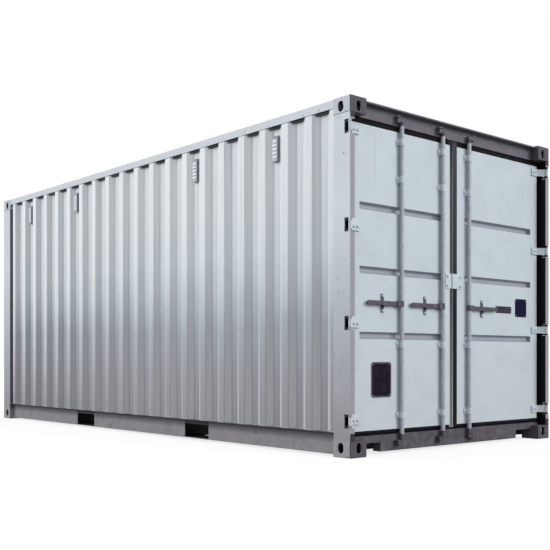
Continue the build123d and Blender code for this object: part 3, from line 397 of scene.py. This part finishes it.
def painted_cast_steel(tree, place):
    """Corner castings of cast steel: a coarse sand-cast skin under wall paint, with dark paint on the
    faces at the door end, scraped by spreaders and twistlocks; painted shade darkens the hollows and
    the faces towards the posts."""
    axes = add_node(tree, "SeparateXYZ", {"Vector": place}).outputs
    height = add_node(tree, "MapRange", {"Value": axes["Z"], "From Min": 0.1, "From Max": 2.4})
    pale = add_node(tree, "ValToRGB", {"Fac": height}, stops=[(0, "a2a1a7"), (1, "ccd5dd")])
    # Dark paint on the faces at the door end and towards the beams, and the same dark colour as painted shade
    # on the faces towards the posts
    end_edge = {"From Min": END - 0.006, "From Max": END - 0.004}
    door_end = add_node(tree, "MapRange", {"Value": axes["X"], **end_edge})
    reach = add_node(tree, "Math", {0: axes["Y"]}, operation="ABSOLUTE")
    skin = 0.0015
    beam_face = SIDE - CASTING_WIDTH + skin
    beam_side = add_node(tree, "Math", {0: reach, 1: beam_face}, operation="LESS_THAN")
    dark_paint_and_shade = add_node(tree, "Math", {0: door_end, 1: beam_side}, operation="MAXIMUM")
    level = add_node(tree, "Math", {0: axes["Z"], 1: TOP / 2}, operation="SUBTRACT")
    level = add_node(tree, "Math", {0: level}, operation="ABSOLUTE")
    post_face = TOP / 2 - CASTING_HEIGHT + skin
    shaded_post_side = add_node(tree, "Math", {0: level, 1: post_face}, operation="LESS_THAN")
    dark_paint_and_shade = add_node(tree, "Math", {0: dark_paint_and_shade, 1: shaded_post_side}, operation="MAXIMUM")
    painted = add_node(tree, "Mix", {"Factor": dark_paint_and_shade, UNDER: pale, OVER: linear("524d58")}, **LAID_ON)
    # The hollow inside each casting is painted black as shade
    along = add_node(tree, "Math", {0: axes["X"]}, operation="ABSOLUTE")
    hollow_level, hollow_half_height = 0.06825, 0.041
    hollow = 1
    for distance, middle, half in (
        (along, END - CASTING_LENGTH / 2, CASTING_LENGTH / 2 - CASTING_WALL),
        (reach, SIDE - CASTING_WIDTH / 2, CASTING_WIDTH / 2 - CASTING_WALL),
        (level, TOP / 2 - hollow_level, hollow_half_height),
    ):
        within = add_node(tree, "Math", {0: distance, 1: middle, 2: half}, operation="COMPARE")
        hollow = add_node(tree, "Math", {0: within, 1: hollow}, operation="MULTIPLY")
    hollow_painted_shade = add_node(tree, "Mix", {"Factor": hollow, UNDER: painted, OVER: linear("0d0c0f")}, **LAID_ON)
    # Scrapes about 30 mm long
    scrapes = add_node(tree, "TexNoise", {"Vector": place, "Scale": 1000 / 30, "Detail": 6})
    scraped = stained(tree, hollow_painted_shade, scrapes, "6e5c52", start=0.6, full=0.68, depth=0.45)
    # Sand-cast grain of about 4 mm, drawn at 8 mm so that it shows
    grain = add_node(tree, "TexNoise", {"Vector": place, "Scale": 1000 / 8, "Detail": 3})
    bump = add_node(tree, "Bump", {"Strength": 0.35, "Distance": 0.002, "Height": grain})
    coat = {"Base Color": scraped, "Roughness": 0.62, "Normal": bump, **WEATHERED}
    return add_node(tree, "BsdfPrincipled", coat)


def chassis_paint_under_floor(tree, place):
    """Grey chassis paint on the underframe: mud-stained and rusting in patches, with painted shade: dark
    under the top flange of the rails and black inside the fork pockets."""
    axes = add_node(tree, "SeparateXYZ", {"Vector": place}).outputs
    # Mud stains about 150 mm across
    mud = add_node(tree, "TexNoise", {"Vector": place, "Scale": 1000 / 150, "Detail": 5})
    tones = [(0.3, "868389"), (0.55, "939198"), (0.75, "7d7672")]
    base = add_node(tree, "ValToRGB", {"Fac": mud}, stops=tones)
    # Rust patches about 25 mm across
    patches = add_node(tree, "TexNoise", {"Vector": place, "Scale": 1000 / 25, "Detail": 4})
    rusted = stained(tree, base, patches, "6b5143", start=0.66, full=0.72, depth=0.6)
    # Painted shadow under the top flange of the rails
    flange = add_node(tree, "MapRange", {"Value": axes["Z"], "From Min": 0.095, "From Max": 0.135})
    shade_darkened = add_node(tree, "Mix", {"Factor": flange, UNDER: rusted, OVER: linear("acacb2")}, **MULTIPLIED)
    # The tunnels of the fork pockets are painted black as shade behind the rails
    along = add_node(tree, "Math", {0: axes["X"]}, operation="ABSOLUTE")
    tunnel_span = {1: POCKET_MIDDLE, 2: POCKET_WIDTH / 2 + 0.005}
    at_tunnel = add_node(tree, "Math", {0: along, **tunnel_span}, operation="COMPARE")
    reach = add_node(tree, "Math", {0: axes["Y"]}, operation="ABSOLUTE")
    behind_rail = add_node(tree, "Math", {0: reach, 1: RAIL_FACE - 0.001}, operation="LESS_THAN")
    shade_blackened = laid_where_all(tree, shade_darkened, [at_tunnel, behind_rail], "08070a")
    bump = add_node(tree, "Bump", {"Strength": 0.2, "Distance": 0.002, "Height": patches})
    coat = {"Base Color": shade_blackened, "Roughness": 0.65, "Normal": bump, **WEATHERED}
    return add_node(tree, "BsdfPrincipled", coat)


def hot_dip_galvanised_steel(tree, place, painted_ends):
    """Hot-dip galvanised steel on bars and bolts: dull zinc with a faint spangle. On the bars the dark
    paint of the beams was carried over both ends and over the hub of the handle."""
    # Zinc spangle with crystals about 12 mm across
    spangle = add_node(tree, "TexVoronoi", {"Vector": place, "Scale": 1000 / 12})
    crystal = add_node(tree, "SeparateColor", {"Color": spangle.outputs["Color"]}).outputs
    zinc_grey = add_node(tree, "ValToRGB", {"Fac": crystal[0]}, stops=[(0, "a2a8b2"), (1, "b4bac3")])
    # White rust and stains about 90 mm across
    stains = add_node(tree, "TexNoise", {"Vector": place, "Scale": 1000 / 90, "Detail": 5})
    colour = stained(tree, zinc_grey, stains, "8d9098", start=0.5, full=0.72, depth=0.45)
    if painted_ends:
        axes = add_node(tree, "SeparateXYZ", {"Vector": place}).outputs
        # The foot of the bar, its head, and the hub, each as the middle and half the length of the paint
        for middle, half in ((0.06, 0.08), (LEAF_TOP + 0.105, 0.06), (HANDLE_LEVEL, 0.024)):
            colour = coated_within(tree, colour, axes["Z"], middle, half, linear("48444e"))
    dullness = add_node(tree, "MapRange", {"Value": crystal[1], "To Min": 0.46, "To Max": 0.6})
    return add_node(tree, "BsdfPrincipled", {"Base Color": colour, "Metallic": 0.2, "Roughness": dullness})


def worn_black_enamel(tree, place):
    """Black enamel on handles and rests, rubbed to grey steel where hands take hold."""
    # Rubbed patches about 40 mm across
    rubs = add_node(tree, "TexNoise", {"Vector": place, "Scale": 1000 / 40, "Detail": 5})
    tones = [(0.35, "2b2731"), (0.58, "3a3540"), (0.7, "5f5a63")]
    base = add_node(tree, "ValToRGB", {"Fac": rubs}, stops=tones)
    dullness = add_node(tree, "MapRange", {"Value": rubs, "To Min": 0.38, "To Max": 0.6})
    bump = add_node(tree, "Bump", {"Strength": 0.15, "Distance": 0.001, "Height": rubs}, invert=True)
    coat = {"Base Color": base, "Roughness": dullness, "IOR": 1.5, "Normal": bump}
    return add_node(tree, "BsdfPrincipled", coat)


def extruded_epdm_rubber(tree, place):
    """Extruded EPDM door seal: matt black with a film of dust."""
    axes = add_node(tree, "SeparateXYZ", {"Vector": place}).outputs
    # Dust film in patches about 80 mm across
    dust = add_node(tree, "TexNoise", {"Vector": place, "Scale": 1000 / 80, "Detail": 4})
    colour = add_node(tree, "ValToRGB", {"Fac": dust}, stops=[(0.4, "08080a"), (0.75, "171619")])
    # The edges that meet between the leaves are paler, the left one most, and most near the sill
    height = add_node(tree, "MapRange", {"Value": axes["Z"], "From Min": LEAF_BOTTOM, "From Max": LEAF_TOP})
    edge_half = 0.024
    for middle, stops in (
        (-edge_half, [(0, "a6a6aa"), (0.25, "8f9296"), (0.45, "70747a"), (0.88, "70747a"), (1, "45454b")]),
        (edge_half, [(0, "121214"), (0.42, "191b1b"), (0.55, "313136"), (0.7, "3c3e41"), (1, "484b50")]),
    ):
        edge = add_node(tree, "ValToRGB", {"Fac": height}, stops=stops)
        colour = coated_within(tree, colour, axes["Y"], middle, edge_half, edge)
    # Fine extrusion grain, drawn at 5 mm so that it shows
    grain = add_node(tree, "TexNoise", {"Vector": place, "Scale": 1000 / 5, "Detail": 1})
    bump = add_node(tree, "Bump", {"Strength": 0.15, "Distance": 0.001, "Height": grain})
    matt = {"Roughness": 0.85, "IOR": 1.52, "Specular IOR Level": 0.15}
    return add_node(tree, "BsdfPrincipled", {"Base Color": colour, "Normal": bump, **matt})


def hardwood_plywood(tree, place):
    """Thick hardwood plywood boards of the floor: long grain, dark joints, scuffed by trucks."""
    # Grain lines about 6 mm wide run along the boards
    stretch = add_node(tree, "Mapping", {"Vector": place, "Scale": (1000 / 300, 1000 / 6, 1000 / 6)})
    grain = add_node(tree, "TexNoise", {"Vector": stretch, "Scale": 1, "Detail": 5})
    tones = [(0.3, "6b4f37"), (0.55, "866547"), (0.75, "9a7a58")]
    wood = add_node(tree, "ValToRGB", {"Fac": grain}, stops=tones)
    # Boards 2400 mm long and 1160 mm wide with 6 mm joints
    layout = {"Scale": 1, "Mortar Size": 0.003, "Brick Width": 2.4, "Row Height": 1.16}
    tones = {"Color1": linear("ffffff"), "Color2": linear("d8d2cb"), "Mortar": linear("241b14")}
    boards = add_node(tree, "TexBrick", {"Vector": place, **tones, **layout}, offset=0.5)
    jointed = add_node(tree, "Mix", {"Factor": 1, UNDER: wood, OVER: boards}, **MULTIPLIED)
    bump = add_node(tree, "Bump", {"Strength": 0.2, "Distance": 0.002, "Height": grain})
    coat = {"Base Color": jointed, "Roughness": 0.7, "IOR": 1.5, "Normal": bump}
    return add_node(tree, "BsdfPrincipled", coat)


def lacquered_aluminium(tree, place, code, worn):
    """Lacquered aluminium sheet of the bare plates: satin, with fine scratches and worn spots."""
    # Worn spots about 35 mm across
    spots = add_node(tree, "TexNoise", {"Vector": place, "Scale": 1000 / 35, "Detail": 6})
    base = add_node(tree, "ValToRGB", {"Fac": spots}, stops=[(0.5, code), (0.78, worn)])
    # Scratches about 3 mm apart run across the plate
    stretch = add_node(tree, "Mapping", {"Vector": place, "Scale": (1000 / 120, 1000 / 120, 1000 / 3)})
    scratches = add_node(tree, "TexNoise", {"Vector": stretch, "Scale": 1, "Detail": 2})
    bump = add_node(tree, "Bump", {"Strength": 0.08, "Distance": 0.0005, "Height": scratches})
    satin = {"Roughness": 0.5, "IOR": 1.5, "Specular IOR Level": 0.06}
    return add_node(tree, "BsdfPrincipled", {"Base Color": base, "Normal": bump, **satin})


def painted_weld_metal(tree, place):
    """Weld metal under paint: close round ripples along the bead, with painted shade in the valleys."""
    # Weld ripples about 5 mm apart
    ripples = add_node(tree, "TexNoise", {"Vector": place, "Scale": 1000 / 5, "Detail": 1})
    # Painted shade: the valleys of the ripples are a little darker
    base = add_node(tree, "ValToRGB", {"Fac": ripples}, stops=[(0.35, "8a8b91"), (0.65, "a9aeb6")])
    bump = add_node(tree, "Bump", {"Strength": 0.6, "Distance": 0.002, "Height": ripples})
    coat = {"Base Color": base, "Roughness": 0.55, "IOR": 1.48, "Normal": bump}
    return add_node(tree, "BsdfPrincipled", coat)


def begin():
    """Deselect everything, so that operators touch only the next piece."""
    bpy.ops.object.select_all(action="DESELECT")


def leave():
    """Leave edit mode."""
    bpy.ops.object.mode_set(mode="OBJECT")


def apply_place():
    """Put the place, turn and size of the piece in hand into its mesh."""
    bpy.ops.object.transform_apply(location=True, rotation=True, scale=True)
    return bpy.context.object


def block_between(low, high):
    """A block between two corners, its place and size in its mesh."""
    begin()
    low, high = Vector(low), Vector(high)
    bpy.ops.mesh.primitive_cube_add(size=1, location=(low + high) / 2)
    bpy.context.object.scale = high - low
    return apply_place()


def disc(vertices, radius, depth, middle):
    """A disc that faces +X, its place in its mesh."""
    begin()
    bpy.ops.mesh.primitive_cylinder_add(
        vertices=vertices, radius=radius, depth=depth, location=(middle, 0, 0), rotation=(0, math.pi / 2, 0)
    )
    return apply_place()


def round_face(vertices, radius, place):
    """A round face that looks along X, its place in its mesh."""
    begin()
    bpy.ops.mesh.primitive_circle_add(
        vertices=vertices, radius=radius, fill_type="NGON", location=place, rotation=(0, math.pi / 2, 0)
    )
    return apply_place()


def pick_all():
    """Enter edit mode with all faces selected."""
    bpy.ops.object.mode_set(mode="EDIT")
    bpy.ops.mesh.select_mode(type="FACE")
    bpy.ops.mesh.select_all(action="SELECT")


def pick_nothing(mode):
    """Clear the selection in edit mode, so that code can select faces or edges."""
    bpy.ops.object.mode_set(mode="EDIT")
    bpy.ops.mesh.select_mode(type=mode)
    bpy.ops.mesh.select_all(action="DESELECT")
    leave()


def pick_faces(piece, facing):
    """Enter edit mode with the faces selected that look in a direction."""
    pick_nothing("FACE")
    for face in piece.data.polygons:
        face.select = face.normal.dot(Vector(facing)) > NEARLY
    bpy.ops.object.mode_set(mode="EDIT")


def pick_edges(piece, wanted):
    """Enter edit mode with the edges selected whose ends pass."""
    pick_nothing("EDGE")
    points = piece.data.vertices
    for edge in piece.data.edges:
        edge.select = wanted(points[edge.vertices[0]].co, points[edge.vertices[1]].co)
    bpy.ops.object.mode_set(mode="EDIT")


def round_corners(plate, axis, radius):
    """Round the edges of a plate that run along an axis."""
    pick_edges(plate, lambda a, b: (a - b).cross(Vector(axis)).length < 1e-6)
    bpy.ops.mesh.bevel(offset=radius, segments=4)
    leave()


def step_face(piece, facing, *steps):
    """Inset the face that looks in a direction, and move it that way, once for each (inset, rise)."""
    pick_faces(piece, facing)
    for inset, rise in steps:
        bpy.ops.mesh.inset(thickness=inset)
        bpy.ops.transform.translate(value=Vector(facing) * rise)
    leave()


def close_skin():
    """Turn all faces of the piece in hand outwards, and leave edit mode."""
    bpy.ops.mesh.select_all(action="SELECT")
    bpy.ops.mesh.normals_make_consistent(inside=False)
    leave()


def soften(piece, width):
    """Round the sharp edges and apply the rounding."""
    bevel = piece.modifiers.new("soft_edges", "BEVEL")
    bevel.width = width
    bevel.segments = 2
    bevel.limit_method = "ANGLE"
    bpy.context.view_layer.objects.active = piece
    bpy.ops.object.modifier_apply(modifier=bevel.name)


def take(*pieces):
    """Select only these pieces, with the first in hand."""
    begin()
    for piece in pieces:
        piece.select_set(True)
    bpy.context.view_layer.objects.active = pieces[0]


def join(pieces):
    """Join pieces into the first of them."""
    if len(pieces) > 1:
        take(*pieces)
        bpy.ops.object.join()
    return pieces[0]


def copies_at(pattern, places):
    """Copies of a piece that was modelled at the origin, each with its own mesh, joined into one."""
    made = []
    for place in places:
        take(pattern)
        bpy.ops.object.duplicate(linked=False)
        made.append(bpy.context.object)
        made[-1].location = place
    bpy.data.objects.remove(pattern)
    return join(made)


def settle(piece, name, body, slot, *materials):
    """Name a finished piece, put its place into its mesh, and let it ride on its body."""
    take(piece)
    apply_place()
    piece.name = name
    piece.data.name = name
    for material in materials:
        piece.data.materials.append(material)
    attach(piece, body)


def hex_bolt():
    """A hexagon head on a washer, modelled at the origin and facing +X."""
    washer = disc(vertices=20, radius=0.011, depth=0.0025, middle=0.00125)
    step_face(washer, (1, 0, 0), (0.0012, 0.0006))
    head = disc(vertices=6, radius=0.0092, depth=0.0055, middle=0.0055)
    step_face(head, (1, 0, 0), (0.0016, 0.001))
    return join([washer, head])


def dome_rivet(radius):
    """A low dome rivet, modelled at the origin and facing +X."""
    rivet = disc(vertices=14, radius=radius, depth=0.0012, middle=0.0006)
    step_face(rivet, (1, 0, 0), (radius * 0.25, radius * 0.3), (radius * 0.35, radius * 0.15))
    return rivet


def bare_plate(low, high, corner, rim, depth):
    """A plate with rounded corners whose field lies a little behind its rim. The field is material 1."""
    plate = block_between(low, high)
    round_corners(plate, (1, 0, 0), corner)
    step_face(plate, (1, 0, 0), (rim, 0), (depth, -depth))
    field = max(plate.data.polygons, key=lambda face: face.area if face.normal.x > NEARLY else 0)
    field.material_index = 1
    return plate


def rubber_lip(low_y, high_y, low_z, high_z, width, x, rise):
    """A lip that runs round a leaf: a ring of rubber with a rounded crown."""
    begin()
    bpy.ops.mesh.primitive_plane_add(
        size=1, location=(x, (low_y + high_y) / 2, (low_z + high_z) / 2), rotation=(0, math.pi / 2, 0)
    )
    bpy.context.object.scale = (high_z - low_z, high_y - low_y, 1)
    lip = apply_place()
    pick_all()
    bpy.ops.mesh.inset(thickness=width)
    bpy.ops.mesh.delete(type="FACE")
    bpy.ops.mesh.select_all(action="SELECT")
    bpy.ops.mesh.extrude_region_move(TRANSFORM_OT_translate={"value": (rise, 0, 0)})
    close_skin()
    crown = 0.35 * min(width, rise)
    soften(lip, crown)
    return lip


def weld_bead(start, end):
    """A half-sunk bead between two points, tapered at both ends."""
    begin()
    start, end = Vector(start), Vector(end)
    run = end - start
    taper, tip = 2 * BEAD_RADIUS, 0.35
    bpy.ops.mesh.primitive_cylinder_add(vertices=8, radius=BEAD_RADIUS, depth=run.length - 2 * taper)
    bead = bpy.context.object
    for way in (1, -1):
        pick_faces(bead, (0, 0, way))
        bpy.ops.mesh.extrude_region_move(TRANSFORM_OT_translate={"value": (0, 0, way * taper)})
        bpy.ops.transform.resize(value=(tip, tip, 1))
        leave()
    bead.rotation_mode = "QUATERNION"
    bead.rotation_quaternion = run.to_track_quat("Z", "Y")
    bead.location = (start + end) / 2
    return apply_place()


def bar_collar():
    """A stop collar that grips a lock bar, modelled at the origin."""
    begin()
    bpy.ops.mesh.primitive_cylinder_add(vertices=28, radius=0.0205, depth=0.009, end_fill_type="NOTHING")
    collar = bpy.context.object
    wall = collar.modifiers.new("collar_wall", "SOLIDIFY")
    wall.thickness = 0.0034
    wall.offset = -1
    bpy.ops.object.modifier_apply(modifier=wall.name)
    soften(collar, 0.001)
    return collar


def vent_slat(sign):
    """A hooded slat of a vent, modelled at the origin and facing out of its long side."""
    half_width, half_height, reach, lean = 0.023, 0.008, 0.006, 0.005
    inner, outer = sorted((0, sign * reach))
    slat = block_between((-half_width, inner, -half_height), (half_width, outer, half_height))
    pick_edges(slat, lambda a, b: min(a.z, b.z) > 0 and min(a.y * sign, b.y * sign) > 0.001)
    bpy.ops.transform.translate(value=(0, -sign * lean, 0))
    leave()
    soften(slat, 0.0008)
    return slat


def corner_plate(x_sign, y_sign):
    """A doubler on the roof beside a casting: rounded corners and a top face that falls to its edge."""
    xs = sorted(x_sign * x for x in DOUBLER_ALONG)
    ys = sorted(y_sign * y for y in DOUBLER_ACROSS)
    thickness, corner, fall = 0.004, 0.025, (0.006, 0.0015)
    plate = block_between((xs[0], ys[0], ROOF), (xs[1], ys[1], ROOF + thickness))
    round_corners(plate, (0, 0, 1), corner)
    step_face(plate, (0, 0, 1), fall)
    return plate


def rain_lip(low, high):
    """A folded lip that throws rain clear of the doors: hollow underneath, with soft edges."""
    sheet, hollow = 0.004, 0.007
    lip = block_between(low, high)
    pick_faces(lip, (0, 0, -1))
    bpy.ops.mesh.inset(thickness=sheet)
    bpy.ops.mesh.extrude_region_move(TRANSFORM_OT_translate={"value": (0, 0, hollow)})
    leave()
    soften(lip, 0.0015)
    return lip


def wall_seam(sign, z):
    """A fillet of weld metal that follows the corrugations along the foot or the head of a long side."""
    radius, sunk = 0.003, 0.0005
    seam = round_face(6, radius, (CORRUGATION_START, sign * (WALL_CREST - sunk), z))
    depth = sign * (WALL_CREST - WALL_TROUGH)
    half_crest = (-HALF_CREST, 0, 0)
    trough = ((-SLOPE_LENGTH, -depth, 0), (-TROUGH_LENGTH, 0, 0), (-SLOPE_LENGTH, depth, 0))
    pick_all()
    for step in (half_crest, *trough, half_crest) * CORRUGATIONS:
        bpy.ops.mesh.extrude_region_move(TRANSFORM_OT_translate={"value": step})
    close_skin()
    return seam


def seal_staple():
    """A bent wire staple for a seal, modelled at the origin and standing out along +X."""
    wire, half_span = 0.0028, 0.012
    staple = round_face(8, wire, (0, half_span, 0))
    pick_all()
    bpy.ops.mesh.spin(steps=12, angle=math.pi, center=(0, 0, 0), axis=(0, 0, -1))
    close_skin()
    return staple


def floor_screw():
    """A countersunk screw head with a dished middle, modelled at the origin and facing up."""
    begin()
    bpy.ops.mesh.primitive_cylinder_add(vertices=12, radius=0.007, depth=0.0016)
    screw = bpy.context.object
    step_face(screw, (0, 0, 1), (0.002, -0.0011))
    return screw


def bars_on(sign):
    """Where the lock bars of the left or the right leaf stand, across the container."""
    return [y for y in BARS.values() if y * sign > 0]


# Finishes, and the CAD nodes that each of them covers
wall_paint = material_of(marine_paint_on_walls)
vent_paint = material_of(paint_on_vent_hoods)
door_paint = material_of(marine_paint_on_doors)
frame_paint = material_of(marine_paint_on_frame)
roof_paint = material_of(marine_paint_on_roof)
beam_paint = material_of(dark_paint_on_beams)
cast_steel = material_of(painted_cast_steel)
chassis_paint = material_of(chassis_paint_under_floor)
zinc = material_of(hot_dip_galvanised_steel, painted_ends=False)
bar_zinc = material_of(hot_dip_galvanised_steel, "hot_dip_galvanised_bar", painted_ends=True)
enamel = material_of(worn_black_enamel)
rubber = material_of(extruded_epdm_rubber)
plywood = material_of(hardwood_plywood)
weld_metal = material_of(painted_weld_metal)
plate_dark = material_of(lacquered_aluminium, "plum_lacquered_aluminium", code="170d20", worn="30243a")
plate_rim = material_of(lacquered_aluminium, "grey_lacquered_aluminium", code="5f566a", worn="7c7484")
plate_blue = material_of(lacquered_aluminium, "navy_lacquered_aluminium", code="080428", worn="161340")
strip_dark = material_of(lacquered_aluminium, "charcoal_lacquered_aluminium", code="37323e", worn="56515c")

FINISHES = {
    wall_paint: "left_side_wall right_side_wall front_wall",
    vent_paint: "vents",
    frame_paint: "front_posts rear_left_post rear_right_post top_side_rails front_top_rail",
    roof_paint: "roof_panel",
    door_paint: "left_door_frame left_door_panel left_centre_plate left_hinge_blades left_bar_brackets "
    "right_door_frame right_door_panel right_centre_plate right_hinge_blades right_bar_brackets",
    beam_paint: "door_header door_sill sill_cutout_liners cam_keepers "
    "left_outer_cams left_inner_cams right_cams",
    cast_steel: "bottom_corner_castings top_corner_castings",
    chassis_paint: "bottom_side_rails bottom_rail_skirts front_bottom_rail cross_members "
    "fork_pocket_tops fork_pocket_sides fork_pocket_straps",
    bar_zinc: "left_outer_bar left_inner_bar right_bar",
    enamel: "left_outer_handle left_inner_handle right_handle left_handle_rests right_handle_rests",
    rubber: "left_door_gasket right_door_gasket",
    plywood: "floor",
}
for finish, names in FINISHES.items():
    for name in names.split():
        nodes[name].data.materials.clear()
        nodes[name].data.materials.append(finish)

# Bolts on hinge blades, bar brackets, handle rests and centre plates
for name, sign in LEFT_AND_RIGHT:
    places = [(DOOR_FACE + BLADE_THICKNESS, sign * y, z) for z in HINGE_LEVELS for y in HINGE_BOLTS]
    places += [
        (DOOR_FACE + BRACKET_BASE, y + step, z)
        for z in BRACKET_LEVELS
        for y in bars_on(sign)
        for step in (-BRACKET_BOLT, BRACKET_BOLT)
    ]
    places += [
        (DOOR_FACE + REST_BASE, y + sign * REST_FROM_BAR, HANDLE_LEVEL + step)
        for y in bars_on(sign)
        for step in (-REST_BOLT, REST_BOLT)
    ]
    places += [
        (DOOR_FACE + CENTRE_PLATE_THICKNESS, sign * CENTRE_PLATE_MIDDLE, CENTRE_PLATE_LEVEL + step)
        for step in (-CENTRE_PLATE_BOLT, CENTRE_PLATE_BOLT)
    ]
    settle(copies_at(hex_bolt(), places), f"{name}_door_bolts", f"{name}_door", "body_paint", door_paint)

# Bare plates on the doors, each with rivets in its corners
for name, body, y_span, z_span, corner, rim, field, edge in (
    ("data_plate", "left_door", (-0.933, -0.722), (0.422, 0.686), 0.022, 0.01, plate_dark, plate_rim),
    ("blue_plate", "right_door", (0.825, 0.986), (1.074, 1.231), 0.016, 0.007, plate_blue, plate_blue),
    ("marker_strip", "right_door", (0.55, 0.768), (1.1, 1.158), 0.012, 0.005, strip_dark, strip_dark),
):
    low = (DOOR_FACE, y_span[0], z_span[0])
    high = (DOOR_FACE + PLATE_THICKNESS, y_span[1], z_span[1])
    plate = bare_plate(low, high, corner, rim, PLATE_FIELD_DEPTH)
    settle(plate, name, body, "handle_paint", edge, field)
    inset = rim + RIVET_FROM_RIM
    corners = [
        (DOOR_FACE + RIVET_SEAT, y, z)
        for y in (y_span[0] + inset, y_span[1] - inset)
        for z in (z_span[0] + inset, z_span[1] - inset)
    ]
    settle(copies_at(dome_rivet(RIVET_RADIUS), corners), f"{name}_rivets", body, "lock_steel", zinc)

# Sealing lips round the leaves
for name, _ in LEFT_AND_RIGHT:
    low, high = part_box(f"{name}_door_gasket")
    lip = rubber_lip(low.y, high.y, low.z, high.z, width=0.006, x=high.x - 0.0005, rise=0.0045)
    settle(lip, f"{name}_seal_lip", f"{name}_door", "gasket_rubber", rubber)

# Stop collars on the lock bars, above and below the end brackets
for name, y in BARS.items():
    places = [
        (BAR_X, y, z + step)
        for z in (BRACKET_LEVELS[0], BRACKET_LEVELS[-1])
        for step in (-COLLAR_FROM_BRACKET, COLLAR_FROM_BRACKET)
    ]
    settle(copies_at(bar_collar(), places), f"{name}_bar_collars", f"{name}_bar", "lock_steel", zinc)

# Weld beads where the posts meet the castings
beads = []
for sign in (-1, 1):
    for z in (POST_FOOT, POST_HEAD):
        side = sign * (SIDE - BEAD_SUNK)
        for x in (END - CASTING_LENGTH, BEAD_RADIUS - END):
            beads.append(weld_bead((x, side, z), (x + BEAD_RUN, side, z)))
        front = BEAD_SUNK - END
        inner, outer = sign * (SIDE - CASTING_WIDTH), sign * (SIDE - BEAD_RADIUS)
        beads.append(weld_bead((front, inner, z), (front, outer, z)))
settle(join(beads), "post_weld_beads", "frame", "body_paint", weld_metal)

# Fillets where the long sides stand on the bottom rails and meet the top rails
seams = [wall_seam(sign, z) for sign in (-1, 1) for z in (WALL_FOOT + SEAM_INSET, WALL_HEAD - SEAM_INSET)]
settle(join(seams), "wall_weld_seams", "frame", "body_paint", weld_metal)

# Slats and rivets on the vents
for name, sign in LEFT_AND_RIGHT:
    levels = [VENT_FOOT + SLAT_FIRST + step * SLAT_SPACING for step in range(SLATS)]
    places = [(x, sign * VENT_FACE, z) for x in VENT_MIDDLES for z in levels]
    settle(copies_at(vent_slat(sign), places), f"{name}_vent_slats", "frame", "body_paint", wall_paint)
    rivet = dome_rivet(RIVET_RADIUS)
    rivet.rotation_euler = (0, 0, sign * math.pi / 2)
    places = [
        (x + step, sign * VENT_FACE, VENT_FOOT + rise)
        for x in VENT_MIDDLES
        for step in VENT_RIVETS_ACROSS
        for rise in VENT_RIVETS_UP
    ]
    settle(copies_at(rivet, places), f"{name}_vent_rivets", "frame", "lock_steel", zinc)

# A rain lip along the top of the header, from casting to casting
low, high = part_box("door_header")
lip = rain_lip((high.x, low.y, high.z - RAIN_LIP_HEIGHT), (high.x + RAIN_LIP_REACH, high.y, high.z))
settle(lip, "header_rain_lip", "frame", "dark_paint", beam_paint)

# Doublers on the roof beside the top castings
doublers = [corner_plate(x_sign, y_sign) for x_sign in (-1, 1) for y_sign in (-1, 1)]
settle(join(doublers), "roof_corner_plates", "frame", "body_paint", roof_paint)

# Seal staples under the handle rests
for name, sign in LEFT_AND_RIGHT:
    level = HANDLE_LEVEL - STAPLE_UNDER_HANDLE
    places = [(DOOR_FACE, y + sign * REST_FROM_BAR, level) for y in bars_on(sign)]
    settle(copies_at(seal_staple(), places), f"{name}_seal_staples", f"{name}_door", "lock_steel", zinc)

# Screws that hold the floor boards to the cross members
places = [
    (FIRST_CROSS_MEMBER + row * CROSS_MEMBER_SPACING, y, FLOOR_TOP + FLOOR_SCREW_PROUD)
    for row in range(CROSS_MEMBERS)
    for y in FLOOR_SCREWS_ACROSS
]
settle(copies_at(floor_screw(), places), "floor_screws", "frame", "lock_steel", zinc)

# A pale floor that shows white, with a faint shadow, and white all round
begin()
bpy.ops.mesh.primitive_plane_add(size=120, location=(0, 0, -0.001))
ground = bpy.context.object
ground.name = "studio_floor"
material = bpy.data.materials.new("studio_floor")
tree = emptied_tree(material)
matt = add_node(tree, "BsdfDiffuse", {"Color": linear("6c6c6c")})
white = add_node(tree, "Emission", {"Color": linear("ffffff"), "Strength": 0.78})
shadowed = add_node(tree, "BsdfDiffuse", {"Color": linear("8a8a8a")})
pale = add_node(tree, "AddShader", {0: white, 1: shadowed})
show_to_the_eye(tree, matt, pale, "OutputMaterial")
ground.data.materials.append(material)

world = bpy.data.worlds.new("studio")
bpy.context.scene.world = world
tree = emptied_tree(world)
soft = add_node(tree, "Background", {"Color": linear("ffffff"), "Strength": 0.68})
white = add_node(tree, "Background", {"Color": linear("ffffff"), "Strength": 1})
show_to_the_eye(tree, soft, white, "OutputWorld")

# A broad soft light rakes along the wall from the front end, and another fills the doors
for name, towards, strength, spread in (
    ("raking_light", (-0.714, -0.56, 0.42), 1.8, 25),
    ("door_light", (0.82, 0.45, 0.42), 1.6, 35),
):
    lamp = bpy.data.lights.new(name, "SUN")
    lamp.energy = strength
    lamp.angle = math.radians(spread)
    holder = bpy.data.objects.new(name, lamp)
    holder.rotation_euler = Vector(towards).to_track_quat("Z", "Y").to_euler()
    bpy.context.scene.collection.objects.link(holder)

# The photograph's camera: low, level, beside the door end
camera = bpy.data.cameras.new("camera")
camera.sensor_width = 36
camera.lens = 59.14
camera.shift_x = -0.1428
camera.shift_y = 0.1507
camera.clip_end = 200
viewer = bpy.data.objects.new("camera", camera)
viewer.location = (7.7036, -5.6042, 0.7166)
viewer.rotation_euler = (math.pi / 2, 0, math.radians(46.615))
bpy.context.scene.collection.objects.link(viewer)
bpy.context.scene.camera = viewer
bpy.context.scene.view_settings.view_transform = "Standard"
